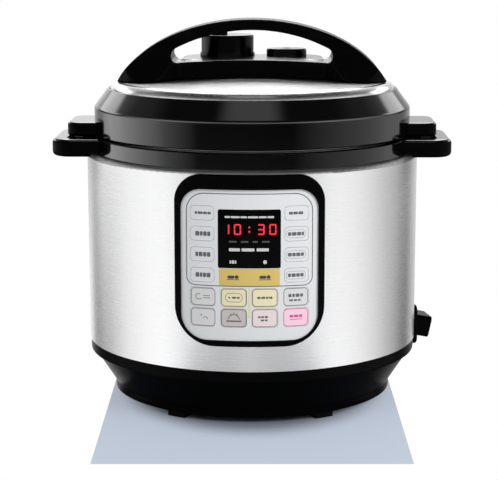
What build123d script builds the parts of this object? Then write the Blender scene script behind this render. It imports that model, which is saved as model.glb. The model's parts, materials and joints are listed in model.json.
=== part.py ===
from build123d import *
import os
from math import asin, atan2, cos, hypot, radians, sin, sqrt

os.makedirs("parts", exist_ok=True)

# Millimetres, +Z up, front towards -Y.
# The origin is on the cooker's axis, on the surface that it stands on.

# Clearances
fit = 0.3  # between pieces that move past each other
seat = 0.1  # between curved faces that are held together
screw_play = 0.05  # around a screw, on the radius

# Cooking pot
pot_radius = 110.0
pot_wall = 1.0
pot_height = 156.0
pot_floor = 4.0
pot_corner = 14.0
pot_rim_width = 6.5
pot_rim_thickness = 1.2

# Exterior pot, which the cooking pot drops into
pot_gap = 4.5  # between the two pots
cavity_wall = 1.5
cavity_rim_drop = 4.0  # from the cooking pot's rim down to the exterior pot's
cavity_flange_width = 10.0
cavity_corner = 6.0
heater_opening_radius = 66.0

# Bayonet
lug_count = 6
lug_angle = 26.0
lug_reach = 5.0
lug_thickness = 3.0
lug_drop = 0.5  # from the exterior pot's rim down to its lugs
lug_gap = 1.5  # between the lid's lugs and the exterior pot's
lid_lug_thickness = 2.5

# Rings of the drum, from the bayonet outwards
lid_gap = 1.5  # between the lugs' ends and the lid's skirt
skirt_wall = 2.0
channel_gap = 2.0  # between the lid's skirt and the collar
collar_wall = 6.5
shell_step = 6.5  # from the collar out to the shell
shell_wall = 0.8
shell_top_round = 3.0

# Heights of the drum
base_height = 48.0  # from the floor to the shell's lower edge
pot_seat_height = 12.0  # from there to the cooking pot's bottom
rim_drop = 4.0  # from the collar's top to the pot's rim
collar_rise = 13.5  # from the shell's top to the collar's
collar_floor_thickness = 4.0
collar_floor_drop = 17.0  # from the collar's top to the floor of its channel
collar_ledge_width = 3.5
collar_ledge_drop = 1.0  # from the shell's top to the ledge below its rim
collar_round = 1.0

# Base bowl and feet
base_wall = 2.5
base_lip_height = 10.0
base_lip_inset = 0.8
base_ridge_inset = 4.0
base_taper = 17.5  # the cone's narrowing from the ridge to the skirt
base_skirt_height = 6.5
base_foot_round = 3.0
base_ridge_round = 2.0
base_lip_round = 1.5
base_floor_thickness = 2.5
base_floor_inner_radius = 92.0
post_radius = 5.0
post_circle_radius = 100.0
post_angle = 45.0
foot_height = 4.5
foot_angle = 8.0
foot_depth = 10.0
foot_direction = 31.0  # each way from straight ahead and straight behind
foot_inset = 1.0
foot_boss_margin = 1.0  # in degrees, each side of a foot
cover_thickness = 2.0
cover_overlap = 12.0
cover_vent_count = 12
cover_vent_length = 30.0
cover_vent_width = 3.0
cover_vent_radius = 68.0

# Side handles of the collar
handle_reach = 26.7  # beyond the shell
handle_half_width = 43.0
handle_thickness = 14.7
handle_drop = 0.5  # from the collar's top to the handle's
handle_lift = 1.0  # from the shell's top to the handle above it
handle_corner = 16.0
handle_round = 4.0
slot_depth = 13.2
slot_half_width = 31.5
slot_inset = 12.0  # from the slot to the handle's outer edge

# Lid cover
lid_seam = 1.8
lid_wall_height = 22.3
shoulder_height = 15.4
shoulder_inset = 11.5
lid_wall = 2.8
lid_edge_round = 0.8
lid_shoulder_round = 4.0
lid_lip_width = 1.3
lid_lip_height = 2.2
plate_ledge_width = 5.3
lid_flange_thickness = 3.0
lid_flange_inset = 12.5  # from the skirt inwards
fin_reach = 21.1
fin_half_width = 30.0
fin_height = 10.4
fin_drop = 1.5  # below the lid cover's edge
fin_round = 2.5
fin_corner = 11.0

# Lid plates
plate_thickness = 0.8
dome_rise = 3.0  # of the crown over the rim
dome_rim_height = 7.7
dome_rim_round = 8.0
pressure_thickness = 1.5
pressure_step_height = 6.5
pressure_step_radius = 97.0
pressure_step_run = 5.0
ring_room = 8.5  # between the pot's rim and the pressure lid
ring_inner_radius = 106.0
ring_lip = 2.5
ring_round = 0.8
rack_width = 4.0
rack_height = 7.0
rack_wire = 1.6

# Lid handle
arch_end_inset = 1.0  # from the edge of the dome to the end of the arch
arch_height = 57.4  # above the lid cover
arch_base_drop = 19.0  # from the lid cover's top down to the ellipse's centre
arch_half_depth = 17.0
foot_flare_half_depth = 43.0
flare_start = 55.0
flare_full = 78.0
flare_end = 97.0
arch_tip_half_depth = 16.0
flare_plan_rounds = [20.0, 14.0, 18.0, 12.0]  # at start, full, end and tip
flare_side_rounds = [10.0, 30.0]  # at the foot's wall and below the arch
arch_shoulder_drop = 20.0  # from the arch's top to where its sides start to flare
foot_wall_height = 8.0
handle_screw_y = 22.0
handle_screw_length = 8.0
window_half_width = 67.0
window_height = 24.2
window_top_sag = 16.8
window_bottom_sag = 3.2
window_corner = 6.0
arch_thickness = 9.0
bar_front = 22.0  # ahead of the axis; its rear is level with the arch's
bar_half_length = 70.0
deck_half_width = 60.0
deck_rear = 66.0
deck_corner = 24.0
deck_drop = 1.0  # below the crown of the bar

# Steam valve and float valve
valve_x = -22.0
valve_y = 41.5
knob_radius = 23.6
knob_height = 18.3
knob_skirt_height = 3.0
knob_waist_inset = 1.0
knob_round = 2.0
tab_length = 14.0  # from the knob's axis outwards
tab_width = 11.0
tab_height = 8.0
tab_corner = 3.0
pipe_radius = 4.0
pipe_bore_radius = 2.0
pipe_insert = 12.0  # how far the pipe reaches into the knob
pipe_flange_radius = 8.0
pipe_flange_thickness = 3.0
nut_thickness = 5.0
nut_across_flats = 14.0
shield_radius = 16.0
shield_depth = 11.0
shield_wall = 1.0
shield_round = 3.0
shield_slot_count = 8
shield_slot_width = 3.0
float_x = 29.0
float_y = 40.0
float_radius = 3.0
float_play = 0.4
float_rise = 5.5
float_shoulder_radius = 5.0
float_shoulder_height = 2.0
float_top_recess = 4.0
float_seal_radius = 7.0
float_seal_thickness = 3.0
float_seal_round = 1.0
float_cover_length = 34.5
float_cover_width = 24.0
float_cover_height = 6.8
dome_hole_radius = 6.5

# Locking pin
lock_radius = 2.0
lock_play = 0.25
lock_head_radius = 4.5
lock_head_thickness = 2.0
lock_gap = 2.5  # from the float's shoulder to the pin's head
lock_length = 34.0
lock_spring_length = 7.0
lock_guide_length = 12.0
lock_guide_width = 11.0
lock_lift = 6.0  # from the pressure lid to the pin's centre
lock_spring_radius = 3.3
lock_spring_wire = 0.4
lock_spring_turns = 4

# Heater and sensor
heating_plate_radius = 84.0
heating_plate_thickness = 7.5
heating_plate_bevel = 1.5
heater_pad_radius = 5.0
heater_pad_circle = 75.0
heater_pad_height = 2.0
heater_pad_count = 3
element_circle_radius = 52.0
element_radius = 4.2
element_terminal_length = 14.0
element_terminal_radius = 2.0
element_gap_angle = 30.0
sensor_radius = 11.0
sensor_cap_height = 6.0
sensor_cap_round = 1.0
sensor_stem_radius = 4.0
sensor_stem_length = 18.0
sensor_cup_wall = 2.4
sensor_cup_depth = 14.5
sensor_cup_floor = 2.0
sensor_spring_radius = 7.5
sensor_spring_wire = 0.7
sensor_spring_turns = 5
fuse_length = 20.0
fuse_width = 9.0
fuse_height = 6.0
fuse_x = 30.0
fuse_corner = 2.0

# Power board
board_length = 88.0
board_width = 60.0
board_thickness = 1.6
board_standoff_height = 6.5
board_standoff_radius = 4.0
board_standoff_inset = 6.0
board_part_corner = 1.0

# Control panel
panel_width = 117.4
panel_top_margin = 2.0
panel_bottom_margin = 20.8
panel_top_corner = 22.0
panel_bottom_corner = 31.0
bezel_height = 3.5  # proud of the shell
bezel_top_border = 11.5
bezel_side_border = 5.0
bezel_bottom_border = 4.8
bezel_depth = 6.0  # behind the shell's face
bezel_edge_round = 1.2
tray_margin = 1.5
tray_ledge = 3.0
overlay_recess = 1.5
overlay_thickness = 1.2
overlay_top_corner = 16.0
overlay_bottom_corner = 20.5
title_height = 10.5
key_bottom_margin = 11.0
key_height = 14.5
key_row_gap = 1.8
key_band_gap = 1.9
key_side_margin = 6.9
key_gap = 4.4
key_corner = 3.0
key_play = 0.25
key_travel = 0.5
key_flange_width = 0.8
key_flange_thickness = 1.0
key_stem_radius = 2.0
side_key_width = 19.0
side_key_gap = 5.3
side_key_rows = 4
display_side_gap = 2.8
display_top_gap = 4.9
gold_band_height = 14.1
display_corner = 1.5
control_board_margin = 1.5
module_depth = 11.0
module_inset = 2.0
switch_size = 6.0
switch_height = 5.0
panel_post_radius = 2.5
panel_post_x = 30.0
panel_post_embed = 3.0

# Mains inlet
inlet_azimuth = 12.0
inlet_tilt = 12.0
inlet_rise = 2.5  # from the shell's lower edge to the socket's centre
inlet_pod_width = 38.0
inlet_pod_below = 17.0
inlet_pod_above = 17.5
inlet_pod_height = 4.0  # proud of the shell
inlet_pod_corner = 6.0
inlet_pod_round = 1.5
socket_width = 29.0
socket_tall = 18.4
socket_wall = 2.0
socket_corner = 3.5
socket_reach = 17.0  # from the shell to the mouth
socket_depth = 15.5
pin_width = 4.0
pin_thickness = 2.0
pin_length = 10.5
pin_tail = 14.0
pin_spacing = 7.0
earth_pin_offset = 2.5
terminal_opening_width = 22.0
terminal_opening_height = 11.0

# Condensation collector on the rear
bracket_half_width = 20.0
bracket_height = 30.0
bracket_drop = 16.0  # from the shell's top
bracket_reach = 6.5
bracket_corner = 4.0
cup_half_width = 27.0
cup_depth = 26.0
cup_height = 52.0
cup_wall = 1.6
cup_corner = 8.0
cup_bottom_round = 3.0
cup_drop = 8.5
tongue_width = 10.0
tongue_thickness = 3.0
tongue_length = 5.0
tongue_x = 11.0
spout_half_width = 6.0
spout_wall = 1.5
spout_reach = 14.0

# Screws
screw_radius = 1.5
screw_head_radius = 3.0
screw_head_height = 1.8

# Radii worked out from the pot outwards
pot_inner_radius = pot_radius - pot_wall
cavity_inner_radius = pot_radius + pot_gap
cavity_radius = cavity_inner_radius + cavity_wall
lug_radius = cavity_radius + lug_reach
skirt_inner_radius = lug_radius + lid_gap
skirt_radius = skirt_inner_radius + skirt_wall
collar_inner_radius = skirt_radius + channel_gap
collar_radius = collar_inner_radius + collar_wall
shell_radius = collar_radius + shell_step
lid_lip_radius = collar_radius - shoulder_inset
dome_pocket_radius = lid_lip_radius - lid_lip_width
dome_radius = dome_pocket_radius - fit
dome_curve = (dome_radius**2 + dome_rise**2) / (2 * dome_rise)

# Heights worked out from the floor upwards
pot_bottom = base_height + pot_seat_height
pot_rim_top = pot_bottom + pot_height
collar_top = pot_rim_top + rim_drop
shell_top = collar_top - collar_rise
collar_floor = collar_top - collar_floor_drop
collar_bottom = collar_floor - collar_floor_thickness
cavity_top = pot_rim_top - cavity_rim_drop
lug_top = cavity_top - lug_drop
lug_bottom = lug_top - lug_thickness
lid_lug_top = lug_bottom - lug_gap
lid_lug_bottom = lid_lug_top - lid_lug_thickness
heater_bottom = pot_bottom - heating_plate_thickness
cavity_floor = heater_bottom - heater_pad_height
cavity_bottom = cavity_floor - cavity_wall
lid_bottom = collar_top + lid_seam
lid_shoulder = lid_bottom + lid_wall_height
lid_top = lid_shoulder + shoulder_height
plate_edge = lid_top - lid_lip_height
dome_apex = plate_edge + dome_rim_height + dome_rise
dome_centre = dome_apex - dome_curve
pressure_ring_bottom = pot_rim_top + ring_room
pressure_ring_top = pressure_ring_bottom + pressure_thickness
pressure_top = pressure_ring_top + pressure_step_height
pressure_bottom = pressure_top - pressure_thickness
arch_top = lid_top + arch_height
total_height = arch_top


def outline(points, radii=0, plane=Plane.XZ):
    """A face with straight sides through the points and a rounding at each corner."""
    with BuildSketch(plane) as face:
        with BuildLine():
            FilletPolyline(*points, radius=radii, close=True)
        make_face()
    return face.sketch


def ring_sector(inner_radius, outer_radius, middle, width, height):
    """A flat piece of a ring about the axis, at a height, with its middle and width in degrees."""
    with BuildSketch(Plane.XY.offset(height)) as sector:
        with BuildLine():
            outside = CenterArc((0, 0), outer_radius, middle - width / 2, width)
            inside = CenterArc((0, 0), inner_radius, middle - width / 2, width)
            Line(outside @ 0, inside @ 0)
            Line(outside @ 1, inside @ 1)
        make_face()
    return sector.sketch


def curved_slab(front_view, inner_radius, outer_radius):
    """A slab that looks like the front view and bends round the axis between two radii."""
    with BuildPart() as slab:
        extrude(front_view, amount=outer_radius)
        Cylinder(outer_radius, 2 * total_height, mode=Mode.INTERSECT)
        Cylinder(inner_radius, 2 * total_height, mode=Mode.SUBTRACT)
    return slab.part


def around(circle_radius, angles, height):
    """Points on a circle about the axis."""
    return [
        (circle_radius * cos(radians(angle)), circle_radius * sin(radians(angle)), height)
        for angle in angles
    ]


def save(builder, name):
    """Labels a finished piece and writes its file."""
    builder.part.label = name
    export_step(builder.part, f"parts/{name}.step")


# Shared angles and places
lug_angles = [index * 360 / lug_count for index in range(lug_count)]
post_angles = [post_angle + 90 * index for index in range(4)]
foot_angles = [
    side + turn for side in (-90, 90) for turn in (-foot_direction, foot_direction)
]
foot_top = foot_height
skirt_outer_radius = shell_radius - base_ridge_inset - base_taper
base_ridge = base_height - base_lip_height
base_cone_bottom = foot_top + base_skirt_height
base_floor = foot_top + cover_thickness + screw_head_height
base_floor_top = base_floor + base_floor_thickness

# Mains inlet plane: its normal points out of the socket, its Y axis up
inlet_height = base_height + inlet_rise
inlet_direction = (
    cos(radians(inlet_azimuth)) * cos(radians(inlet_tilt)),
    sin(radians(inlet_azimuth)) * cos(radians(inlet_tilt)),
    -sin(radians(inlet_tilt)),
)
inlet_across = (-sin(radians(inlet_azimuth)), cos(radians(inlet_azimuth)), 0)
inlet_point = around(shell_radius, [inlet_azimuth], inlet_height)[0]
inlet_plane = Plane(origin=inlet_point, x_dir=inlet_across, z_dir=inlet_direction)
pod_plane = Plane(
    origin=(0, 0, inlet_height),
    x_dir=inlet_across,
    z_dir=(cos(radians(inlet_azimuth)), sin(radians(inlet_azimuth)), 0),
)

# Front panel layout
panel_top = shell_top - panel_top_margin
panel_bottom = base_height + panel_bottom_margin
panel_half_width = panel_width / 2
overlay_top = panel_top - bezel_top_border
overlay_bottom = panel_bottom + bezel_bottom_border
overlay_half_width = panel_half_width - bezel_side_border
bezel_radius = shell_radius + bezel_height
face_radius = bezel_radius - overlay_recess
overlay_back_radius = face_radius - overlay_thickness
tray_radius = shell_radius - bezel_depth
key_pitch = (2 * (overlay_half_width - key_side_margin) + key_gap) / 4
key_width = key_pitch - key_gap
column_xs = [(index - 1.5) * key_pitch for index in range(4)]
lower_row_z = overlay_bottom + key_bottom_margin + key_height / 2
upper_row_z = lower_row_z + key_height + key_row_gap
zone_bottom = upper_row_z + key_height / 2 + key_band_gap
zone_top = overlay_top - title_height
side_pitch = (zone_top - zone_bottom) / side_key_rows
side_key_height = side_pitch - side_key_gap
display_half_width = column_xs[3] - side_key_width / 2 - display_side_gap
display_bottom = zone_bottom + gold_band_height
display_top = zone_top - display_top_gap

# Every key: its name, place on the panel, width and height
keys = []
for row in range(side_key_rows):
    side_z = zone_top - (row + 0.5) * side_pitch
    keys.append((f"key_left_{row + 1}", column_xs[0], side_z, side_key_width, side_key_height))
    keys.append((f"key_right_{row + 1}", column_xs[3], side_z, side_key_width, side_key_height))
for column, column_x in enumerate(column_xs):
    keys.append((f"key_upper_{column + 1}", column_x, upper_row_z, key_width, key_height))
    keys.append((f"key_lower_{column + 1}", column_x, lower_row_z, key_width, key_height))


def key_plane(x, z):
    """The upright plane through the axis that faces a key, with its normal outwards."""
    turn = asin(x / face_radius)
    return Plane(
        origin=(0, 0, z),
        x_dir=(cos(turn), sin(turn), 0),
        z_dir=(sin(turn), -cos(turn), 0),
    )


def key_outline(x, z, width, height, corner):
    """A key's rounded outline, seen along its own travel."""
    with BuildSketch(key_plane(x, z)) as face:
        RectangleRounded(width, height, corner)
    return face.sketch


def panel_outline(half_width, bottom, top, bottom_corner, top_corner):
    """A front view of a plate on the panel, with its own roundings below and above."""
    corners = [(-half_width, bottom), (half_width, bottom), (half_width, top), (-half_width, top)]
    return outline(corners, [bottom_corner, bottom_corner, top_corner, top_corner])


def grown_overlay_outline(margin):
    """The overlay's outline, moved out by a margin all round."""
    return panel_outline(
        overlay_half_width + margin,
        overlay_bottom - margin,
        overlay_top + margin,
        overlay_bottom_corner + margin,
        overlay_top_corner + margin,
    )


# Control board, which stands behind the panel as close as its edges allow
control_board_half_width = overlay_half_width - tray_ledge - control_board_margin
control_board_front = sqrt((tray_radius - control_board_margin) ** 2 - control_board_half_width**2)
panel_post_zs = [
    overlay_bottom + (tray_ledge - tray_margin) / 2,
    overlay_top - (tray_ledge - tray_margin) / 2,
]
panel_posts = [(x, z) for x in (-panel_post_x, panel_post_x) for z in panel_post_zs]
switch_face = control_board_front + switch_height


# Outer shell
with BuildPart() as outer_shell:
    shell_inner_radius = shell_radius - shell_wall
    rim_hole_radius = collar_radius + fit
    revolve(
        outline(
            [
                (shell_inner_radius, base_height),
                (shell_radius, base_height),
                (shell_radius, shell_top),
                (rim_hole_radius, shell_top),
                (rim_hole_radius, shell_top - shell_wall),
                (shell_inner_radius, shell_top - shell_wall),
            ],
            [0, 0, shell_top_round, 0, 0, shell_top_round - shell_wall],
        ),
        axis=Axis.Z,
    )
    extrude(grown_overlay_outline(tray_margin + fit), amount=2 * shell_radius, mode=Mode.SUBTRACT)
    with BuildSketch(inlet_plane.offset(-socket_reach)):
        Rectangle(terminal_opening_width, terminal_opening_height)
    extrude(amount=2 * socket_reach, mode=Mode.SUBTRACT)
    spout_notch_bottom = collar_bottom - fit
    with Locations((0, shell_radius, spout_notch_bottom)):
        Box(
            2 * (spout_half_width + fit),
            3 * shell_step,
            shell_top,
            align=(Align.CENTER, Align.CENTER, Align.MIN),
            mode=Mode.SUBTRACT,
        )
save(outer_shell, "outer_shell")

# Base housing
base_outer_points = [
    (skirt_outer_radius, foot_top),
    (skirt_outer_radius, base_cone_bottom),
    (shell_radius - base_ridge_inset, base_ridge),
    (shell_radius - base_lip_inset, base_ridge),
    (shell_radius - base_lip_inset, base_height),
]
base_outer_radii = [0, base_foot_round, base_ridge_round, base_lip_round, 0]
with BuildPart() as base_housing:
    revolve(
        outline(
            base_outer_points
            + [
                (shell_radius - base_lip_inset - base_wall, base_height),
                (shell_radius - base_lip_inset - base_wall, base_ridge + base_wall),
                (shell_radius - base_ridge_inset - base_wall, base_ridge + base_wall / 2),
                (skirt_outer_radius - base_wall, base_cone_bottom + base_wall / 2),
                (skirt_outer_radius - base_wall, base_floor_top),
                (base_floor_inner_radius, base_floor_top),
                (base_floor_inner_radius, base_floor),
                (skirt_outer_radius - base_wall, base_floor),
                (skirt_outer_radius - base_wall, foot_top),
            ],
            base_outer_radii + [0] * 9,
        ),
        axis=Axis.Z,
    )
    for angle in foot_angles:
        boss = ring_sector(
            skirt_outer_radius - foot_depth - 2 * foot_inset,
            skirt_outer_radius - base_wall / 2,
            angle,
            foot_angle + 2 * foot_boss_margin,
            foot_top,
        )
        extrude(boss, amount=base_floor_top - foot_top)
    with Locations(*around(post_circle_radius, post_angles, base_floor)):
        Cylinder(
            post_radius,
            cavity_bottom - base_floor,
            align=(Align.CENTER, Align.CENTER, Align.MIN),
        )
    cover_screw_angles = [angle + post_angle for angle in post_angles]
    with Locations(*around(post_circle_radius, cover_screw_angles, base_floor)):
        Cylinder(screw_radius + screw_play, 4 * base_floor_thickness, mode=Mode.SUBTRACT)
    with Locations(*around(post_circle_radius, post_angles, cavity_bottom)):
        Cylinder(screw_radius + screw_play, 4 * post_radius, mode=Mode.SUBTRACT)
    with BuildSketch(inlet_plane.offset(-socket_reach)):
        Rectangle(terminal_opening_width, terminal_opening_height)
    extrude(amount=2 * socket_reach, mode=Mode.SUBTRACT)
save(base_housing, "base_housing")

# Bottom cover, with vents and the power board's standoffs
cover_radius = base_floor_inner_radius + cover_overlap
cover_bottom = base_floor - cover_thickness
standoff_points = [
    (x, y, base_floor)
    for x in (-board_length / 2 + board_standoff_inset, board_length / 2 - board_standoff_inset)
    for y in (-board_width / 2 + board_standoff_inset, board_width / 2 - board_standoff_inset)
]
with BuildPart() as bottom_cover:
    with BuildSketch(Plane.XY.offset(cover_bottom)):
        Circle(cover_radius)
        with PolarLocations(cover_vent_radius, cover_vent_count):
            SlotOverall(cover_vent_length, cover_vent_width, mode=Mode.SUBTRACT)
        with PolarLocations(post_circle_radius, 4):
            Circle(screw_radius + screw_play, mode=Mode.SUBTRACT)
    extrude(amount=cover_thickness)
    with Locations(*standoff_points):
        Cylinder(
            board_standoff_radius,
            board_standoff_height,
            align=(Align.CENTER, Align.CENTER, Align.MIN),
        )
save(bottom_cover, "bottom_cover")

# Rubber feet
with BuildPart() as rubber_feet:
    for angle in foot_angles:
        foot = ring_sector(
            skirt_outer_radius - foot_inset - foot_depth,
            skirt_outer_radius - foot_inset,
            angle,
            foot_angle,
            0,
        )
        extrude(foot, amount=foot_height)
save(rubber_feet, "rubber_feet")

# Top collar with the two side handles, their parking slots and the drain spout
handle_top = collar_top - handle_drop
handle_bottom = handle_top - handle_thickness
handle_tip = shell_radius + handle_reach
ledge_top = shell_top - collar_ledge_drop
with BuildPart() as top_collar:
    with BuildSketch(Plane.XY.offset(handle_bottom)) as handle_plan:
        with BuildLine():
            FilletPolyline(
                (0, -handle_half_width),
                (handle_tip, -handle_half_width),
                (handle_tip, handle_half_width),
                (0, handle_half_width),
                radius=[0, handle_corner, handle_corner, 0],
                close=True,
            )
        make_face()
    extrude(amount=handle_thickness)
    handle_edges = top_collar.edges().filter_by_position(Axis.X, collar_radius, handle_tip)
    fillet(handle_edges.filter_by(Axis.Z, reverse=True), handle_round)
    with Locations((0, 0, shell_top + handle_lift)):
        Cylinder(
            shell_radius + fit,
            2 * handle_thickness,
            align=(Align.CENTER, Align.CENTER, Align.MAX),
            mode=Mode.SUBTRACT,
        )
    slot_outer = handle_tip - slot_inset
    with Locations((slot_outer - slot_depth / 2, 0, handle_bottom)):
        Box(slot_depth, 2 * slot_half_width, 4 * handle_thickness, mode=Mode.SUBTRACT)
    mirror(about=Plane.YZ)
    revolve(
        outline(
            [
                (cavity_radius + fit, collar_bottom),
                (collar_radius + collar_ledge_width, collar_bottom),
                (collar_radius + collar_ledge_width, ledge_top),
                (collar_radius, ledge_top),
                (collar_radius, collar_top),
                (cavity_radius + fit, collar_top),
            ],
            [0, 0, 0, 0, collar_round, 0],
        ),
        axis=Axis.Z,
    )
    with Locations((0, collar_radius - collar_wall, collar_bottom)):
        Box(
            2 * spout_half_width,
            collar_wall + shell_step + spout_reach,
            ledge_top - collar_bottom,
            align=(Align.CENTER, Align.MIN, Align.MIN),
        )
    channel = outline(
        [
            (cavity_radius - lug_reach, collar_floor),
            (collar_inner_radius, collar_floor),
            (collar_inner_radius, collar_top + lid_seam),
            (cavity_radius - lug_reach, collar_top + lid_seam),
        ]
    )
    revolve(channel, axis=Axis.Z, mode=Mode.SUBTRACT)
    with Locations((0, 0, collar_bottom)):
        Cylinder(cavity_radius + fit, 4 * collar_floor_drop, mode=Mode.SUBTRACT)
    with Locations((0, collar_inner_radius - fit, collar_floor)):
        Box(
            2 * (spout_half_width - spout_wall),
            2 * (collar_wall + shell_step + spout_reach),
            ledge_top - collar_floor - spout_wall,
            align=(Align.CENTER, Align.MIN, Align.MIN),
            mode=Mode.SUBTRACT,
        )
    collar_screw_circle = cavity_radius + cavity_flange_width / 2
    with Locations(*around(collar_screw_circle, post_angles, collar_bottom)):
        Cylinder(screw_radius + screw_play, collar_floor_thickness, mode=Mode.SUBTRACT)
save(top_collar, "top_collar")

# Exterior pot with its bayonet lugs
with BuildPart() as exterior_pot:
    revolve(
        outline(
            [
                (heater_opening_radius, cavity_bottom),
                (cavity_radius, cavity_bottom),
                (cavity_radius, cavity_top),
                (cavity_inner_radius, cavity_top),
                (cavity_inner_radius, cavity_floor),
                (heater_opening_radius, cavity_floor),
            ],
            [0, cavity_corner, 0, 0, cavity_corner - cavity_wall, 0],
        ),
        axis=Axis.Z,
    )
    flange_top = collar_bottom
    revolve(
        outline(
            [
                (cavity_radius - cavity_wall / 2, flange_top - cavity_wall),
                (cavity_radius + cavity_flange_width, flange_top - cavity_wall),
                (cavity_radius + cavity_flange_width, flange_top),
                (cavity_radius - cavity_wall / 2, flange_top),
            ]
        ),
        axis=Axis.Z,
    )
    for angle in lug_angles:
        lug = ring_sector(cavity_radius - cavity_wall / 2, lug_radius, angle, lug_angle, lug_bottom)
        extrude(lug, amount=lug_thickness)
    with Locations(*around(collar_screw_circle, post_angles, collar_bottom)):
        Cylinder(screw_radius + screw_play, 4 * cavity_wall, mode=Mode.SUBTRACT)
    with Locations(*around(post_circle_radius, post_angles, cavity_floor)):
        Cylinder(screw_radius + screw_play, 4 * cavity_wall, mode=Mode.SUBTRACT)
save(exterior_pot, "exterior_pot")

# Heating plate with its three pads
with BuildPart() as heating_plate:
    with BuildSketch(Plane.XY.offset(heater_bottom)):
        Circle(heating_plate_radius)
        Circle(sensor_radius + fit, mode=Mode.SUBTRACT)
    extrude(amount=heating_plate_thickness)
    chamfer(heating_plate.edges().group_by(Axis.Z)[-1].sort_by(SortBy.RADIUS)[-1], heating_plate_bevel)
    with BuildSketch(Plane.XY.offset(cavity_floor)):
        with PolarLocations(heater_pad_circle, heater_pad_count):
            Circle(heater_pad_radius)
    extrude(amount=heater_pad_height)
save(heating_plate, "heating_plate")

# Heating element: an open ring with two terminals, clamped under the plate
element_z = heater_bottom - element_radius
with BuildPart() as heating_element:
    with BuildSketch(Plane.XZ):
        with Locations((element_circle_radius, element_z)):
            Circle(element_radius)
    revolve(axis=Axis.Z, revolution_arc=360 - element_gap_angle)
    end_angles = [0, -element_gap_angle]
    terminal_points = around(element_circle_radius, end_angles, element_z)
    for point, angle, way in zip(terminal_points, end_angles, (-1, 1)):
        tangent = (-way * sin(radians(angle)), way * cos(radians(angle)), 0)
        with BuildSketch(Plane(origin=point, z_dir=tangent)):
            Circle(element_terminal_radius)
        extrude(amount=-element_terminal_length / 2)
save(heating_element, "heating_element")

# Sensor bracket: a cup under the plate that guides the sensor
sensor_cup_floor_top = heater_bottom - sensor_cup_depth + sensor_cup_floor
with BuildPart() as sensor_bracket:
    with BuildSketch(Plane.XY.offset(heater_bottom - sensor_cup_depth)):
        Circle(sensor_radius + fit + sensor_cup_wall)
    extrude(amount=sensor_cup_depth)
    with BuildSketch(Plane.XY.offset(sensor_cup_floor_top)):
        Circle(sensor_radius + fit)
    extrude(amount=sensor_cup_depth, mode=Mode.SUBTRACT)
    with Locations((0, 0, sensor_cup_floor_top)):
        Cylinder(sensor_stem_radius + fit, 4 * sensor_cup_floor, mode=Mode.SUBTRACT)
save(sensor_bracket, "sensor_bracket")

# Sensor plunger, pressed against the pot's bottom
sensor_cap_bottom = pot_bottom - sensor_cap_height
with BuildPart() as sensor_plunger:
    with BuildSketch(Plane.XY.offset(sensor_cap_bottom)):
        Circle(sensor_radius)
    extrude(amount=sensor_cap_height)
    fillet(sensor_plunger.edges().group_by(Axis.Z)[-1], sensor_cap_round)
    with BuildSketch(Plane.XY.offset(sensor_cap_bottom)):
        Circle(sensor_stem_radius)
    extrude(amount=-sensor_stem_length)
save(sensor_plunger, "sensor_plunger")

# Sensor spring, between the bracket's floor and the sensor's cap
spring_room = sensor_cap_bottom - sensor_cup_floor_top - 2 * sensor_spring_wire - 2 * seat
with BuildPart() as sensor_spring:
    with BuildLine() as spring_line:
        Helix(
            spring_room / sensor_spring_turns,
            spring_room,
            sensor_spring_radius,
            center=(0, 0, sensor_cup_floor_top + sensor_spring_wire + seat),
        )
    with BuildSketch(Plane(origin=spring_line.line @ 0, z_dir=spring_line.line % 0)):
        Circle(sensor_spring_wire)
    sweep(is_frenet=True)
save(sensor_spring, "sensor_spring")

# Thermal fuse, clipped under the plate
with BuildPart() as thermal_fuse:
    with Locations((fuse_x, 0, heater_bottom)):
        Box(
            fuse_width,
            fuse_length,
            fuse_height,
            align=(Align.CENTER, Align.CENTER, Align.MAX),
        )
    fillet(thermal_fuse.edges().filter_by(Axis.Z), fuse_corner)
save(thermal_fuse, "thermal_fuse")

# Power board on the bottom cover's standoffs, and the parts on it
power_board_bottom = base_floor + board_standoff_height
power_board_top = power_board_bottom + board_thickness
with BuildPart() as power_board:
    with BuildSketch(Plane.XY.offset(power_board_bottom)):
        RectangleRounded(board_length, board_width, board_standoff_inset / 2)
    extrude(amount=board_thickness)
save(power_board, "power_board")

# Parts on the power board: x, y, length, width, height
board_blocks = [
    (-24.0, 12.0, 28.0, 24.0, 12.0),  # supply transformer
    (18.0, 14.0, 20.0, 16.0, 11.0),  # heater relay
    (-26.0, -17.0, 18.0, 12.0, 8.0),  # filter capacitor
    (20.0, -16.0, 26.0, 9.0, 10.0),  # terminal block
]
with BuildPart() as board_parts:
    for block_x, block_y, length, width, height in board_blocks:
        with BuildSketch(Plane.XY.offset(power_board_top)):
            with Locations((block_x, block_y)):
                RectangleRounded(length, width, board_part_corner)
        extrude(amount=height)
save(board_parts, "board_parts")

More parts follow.
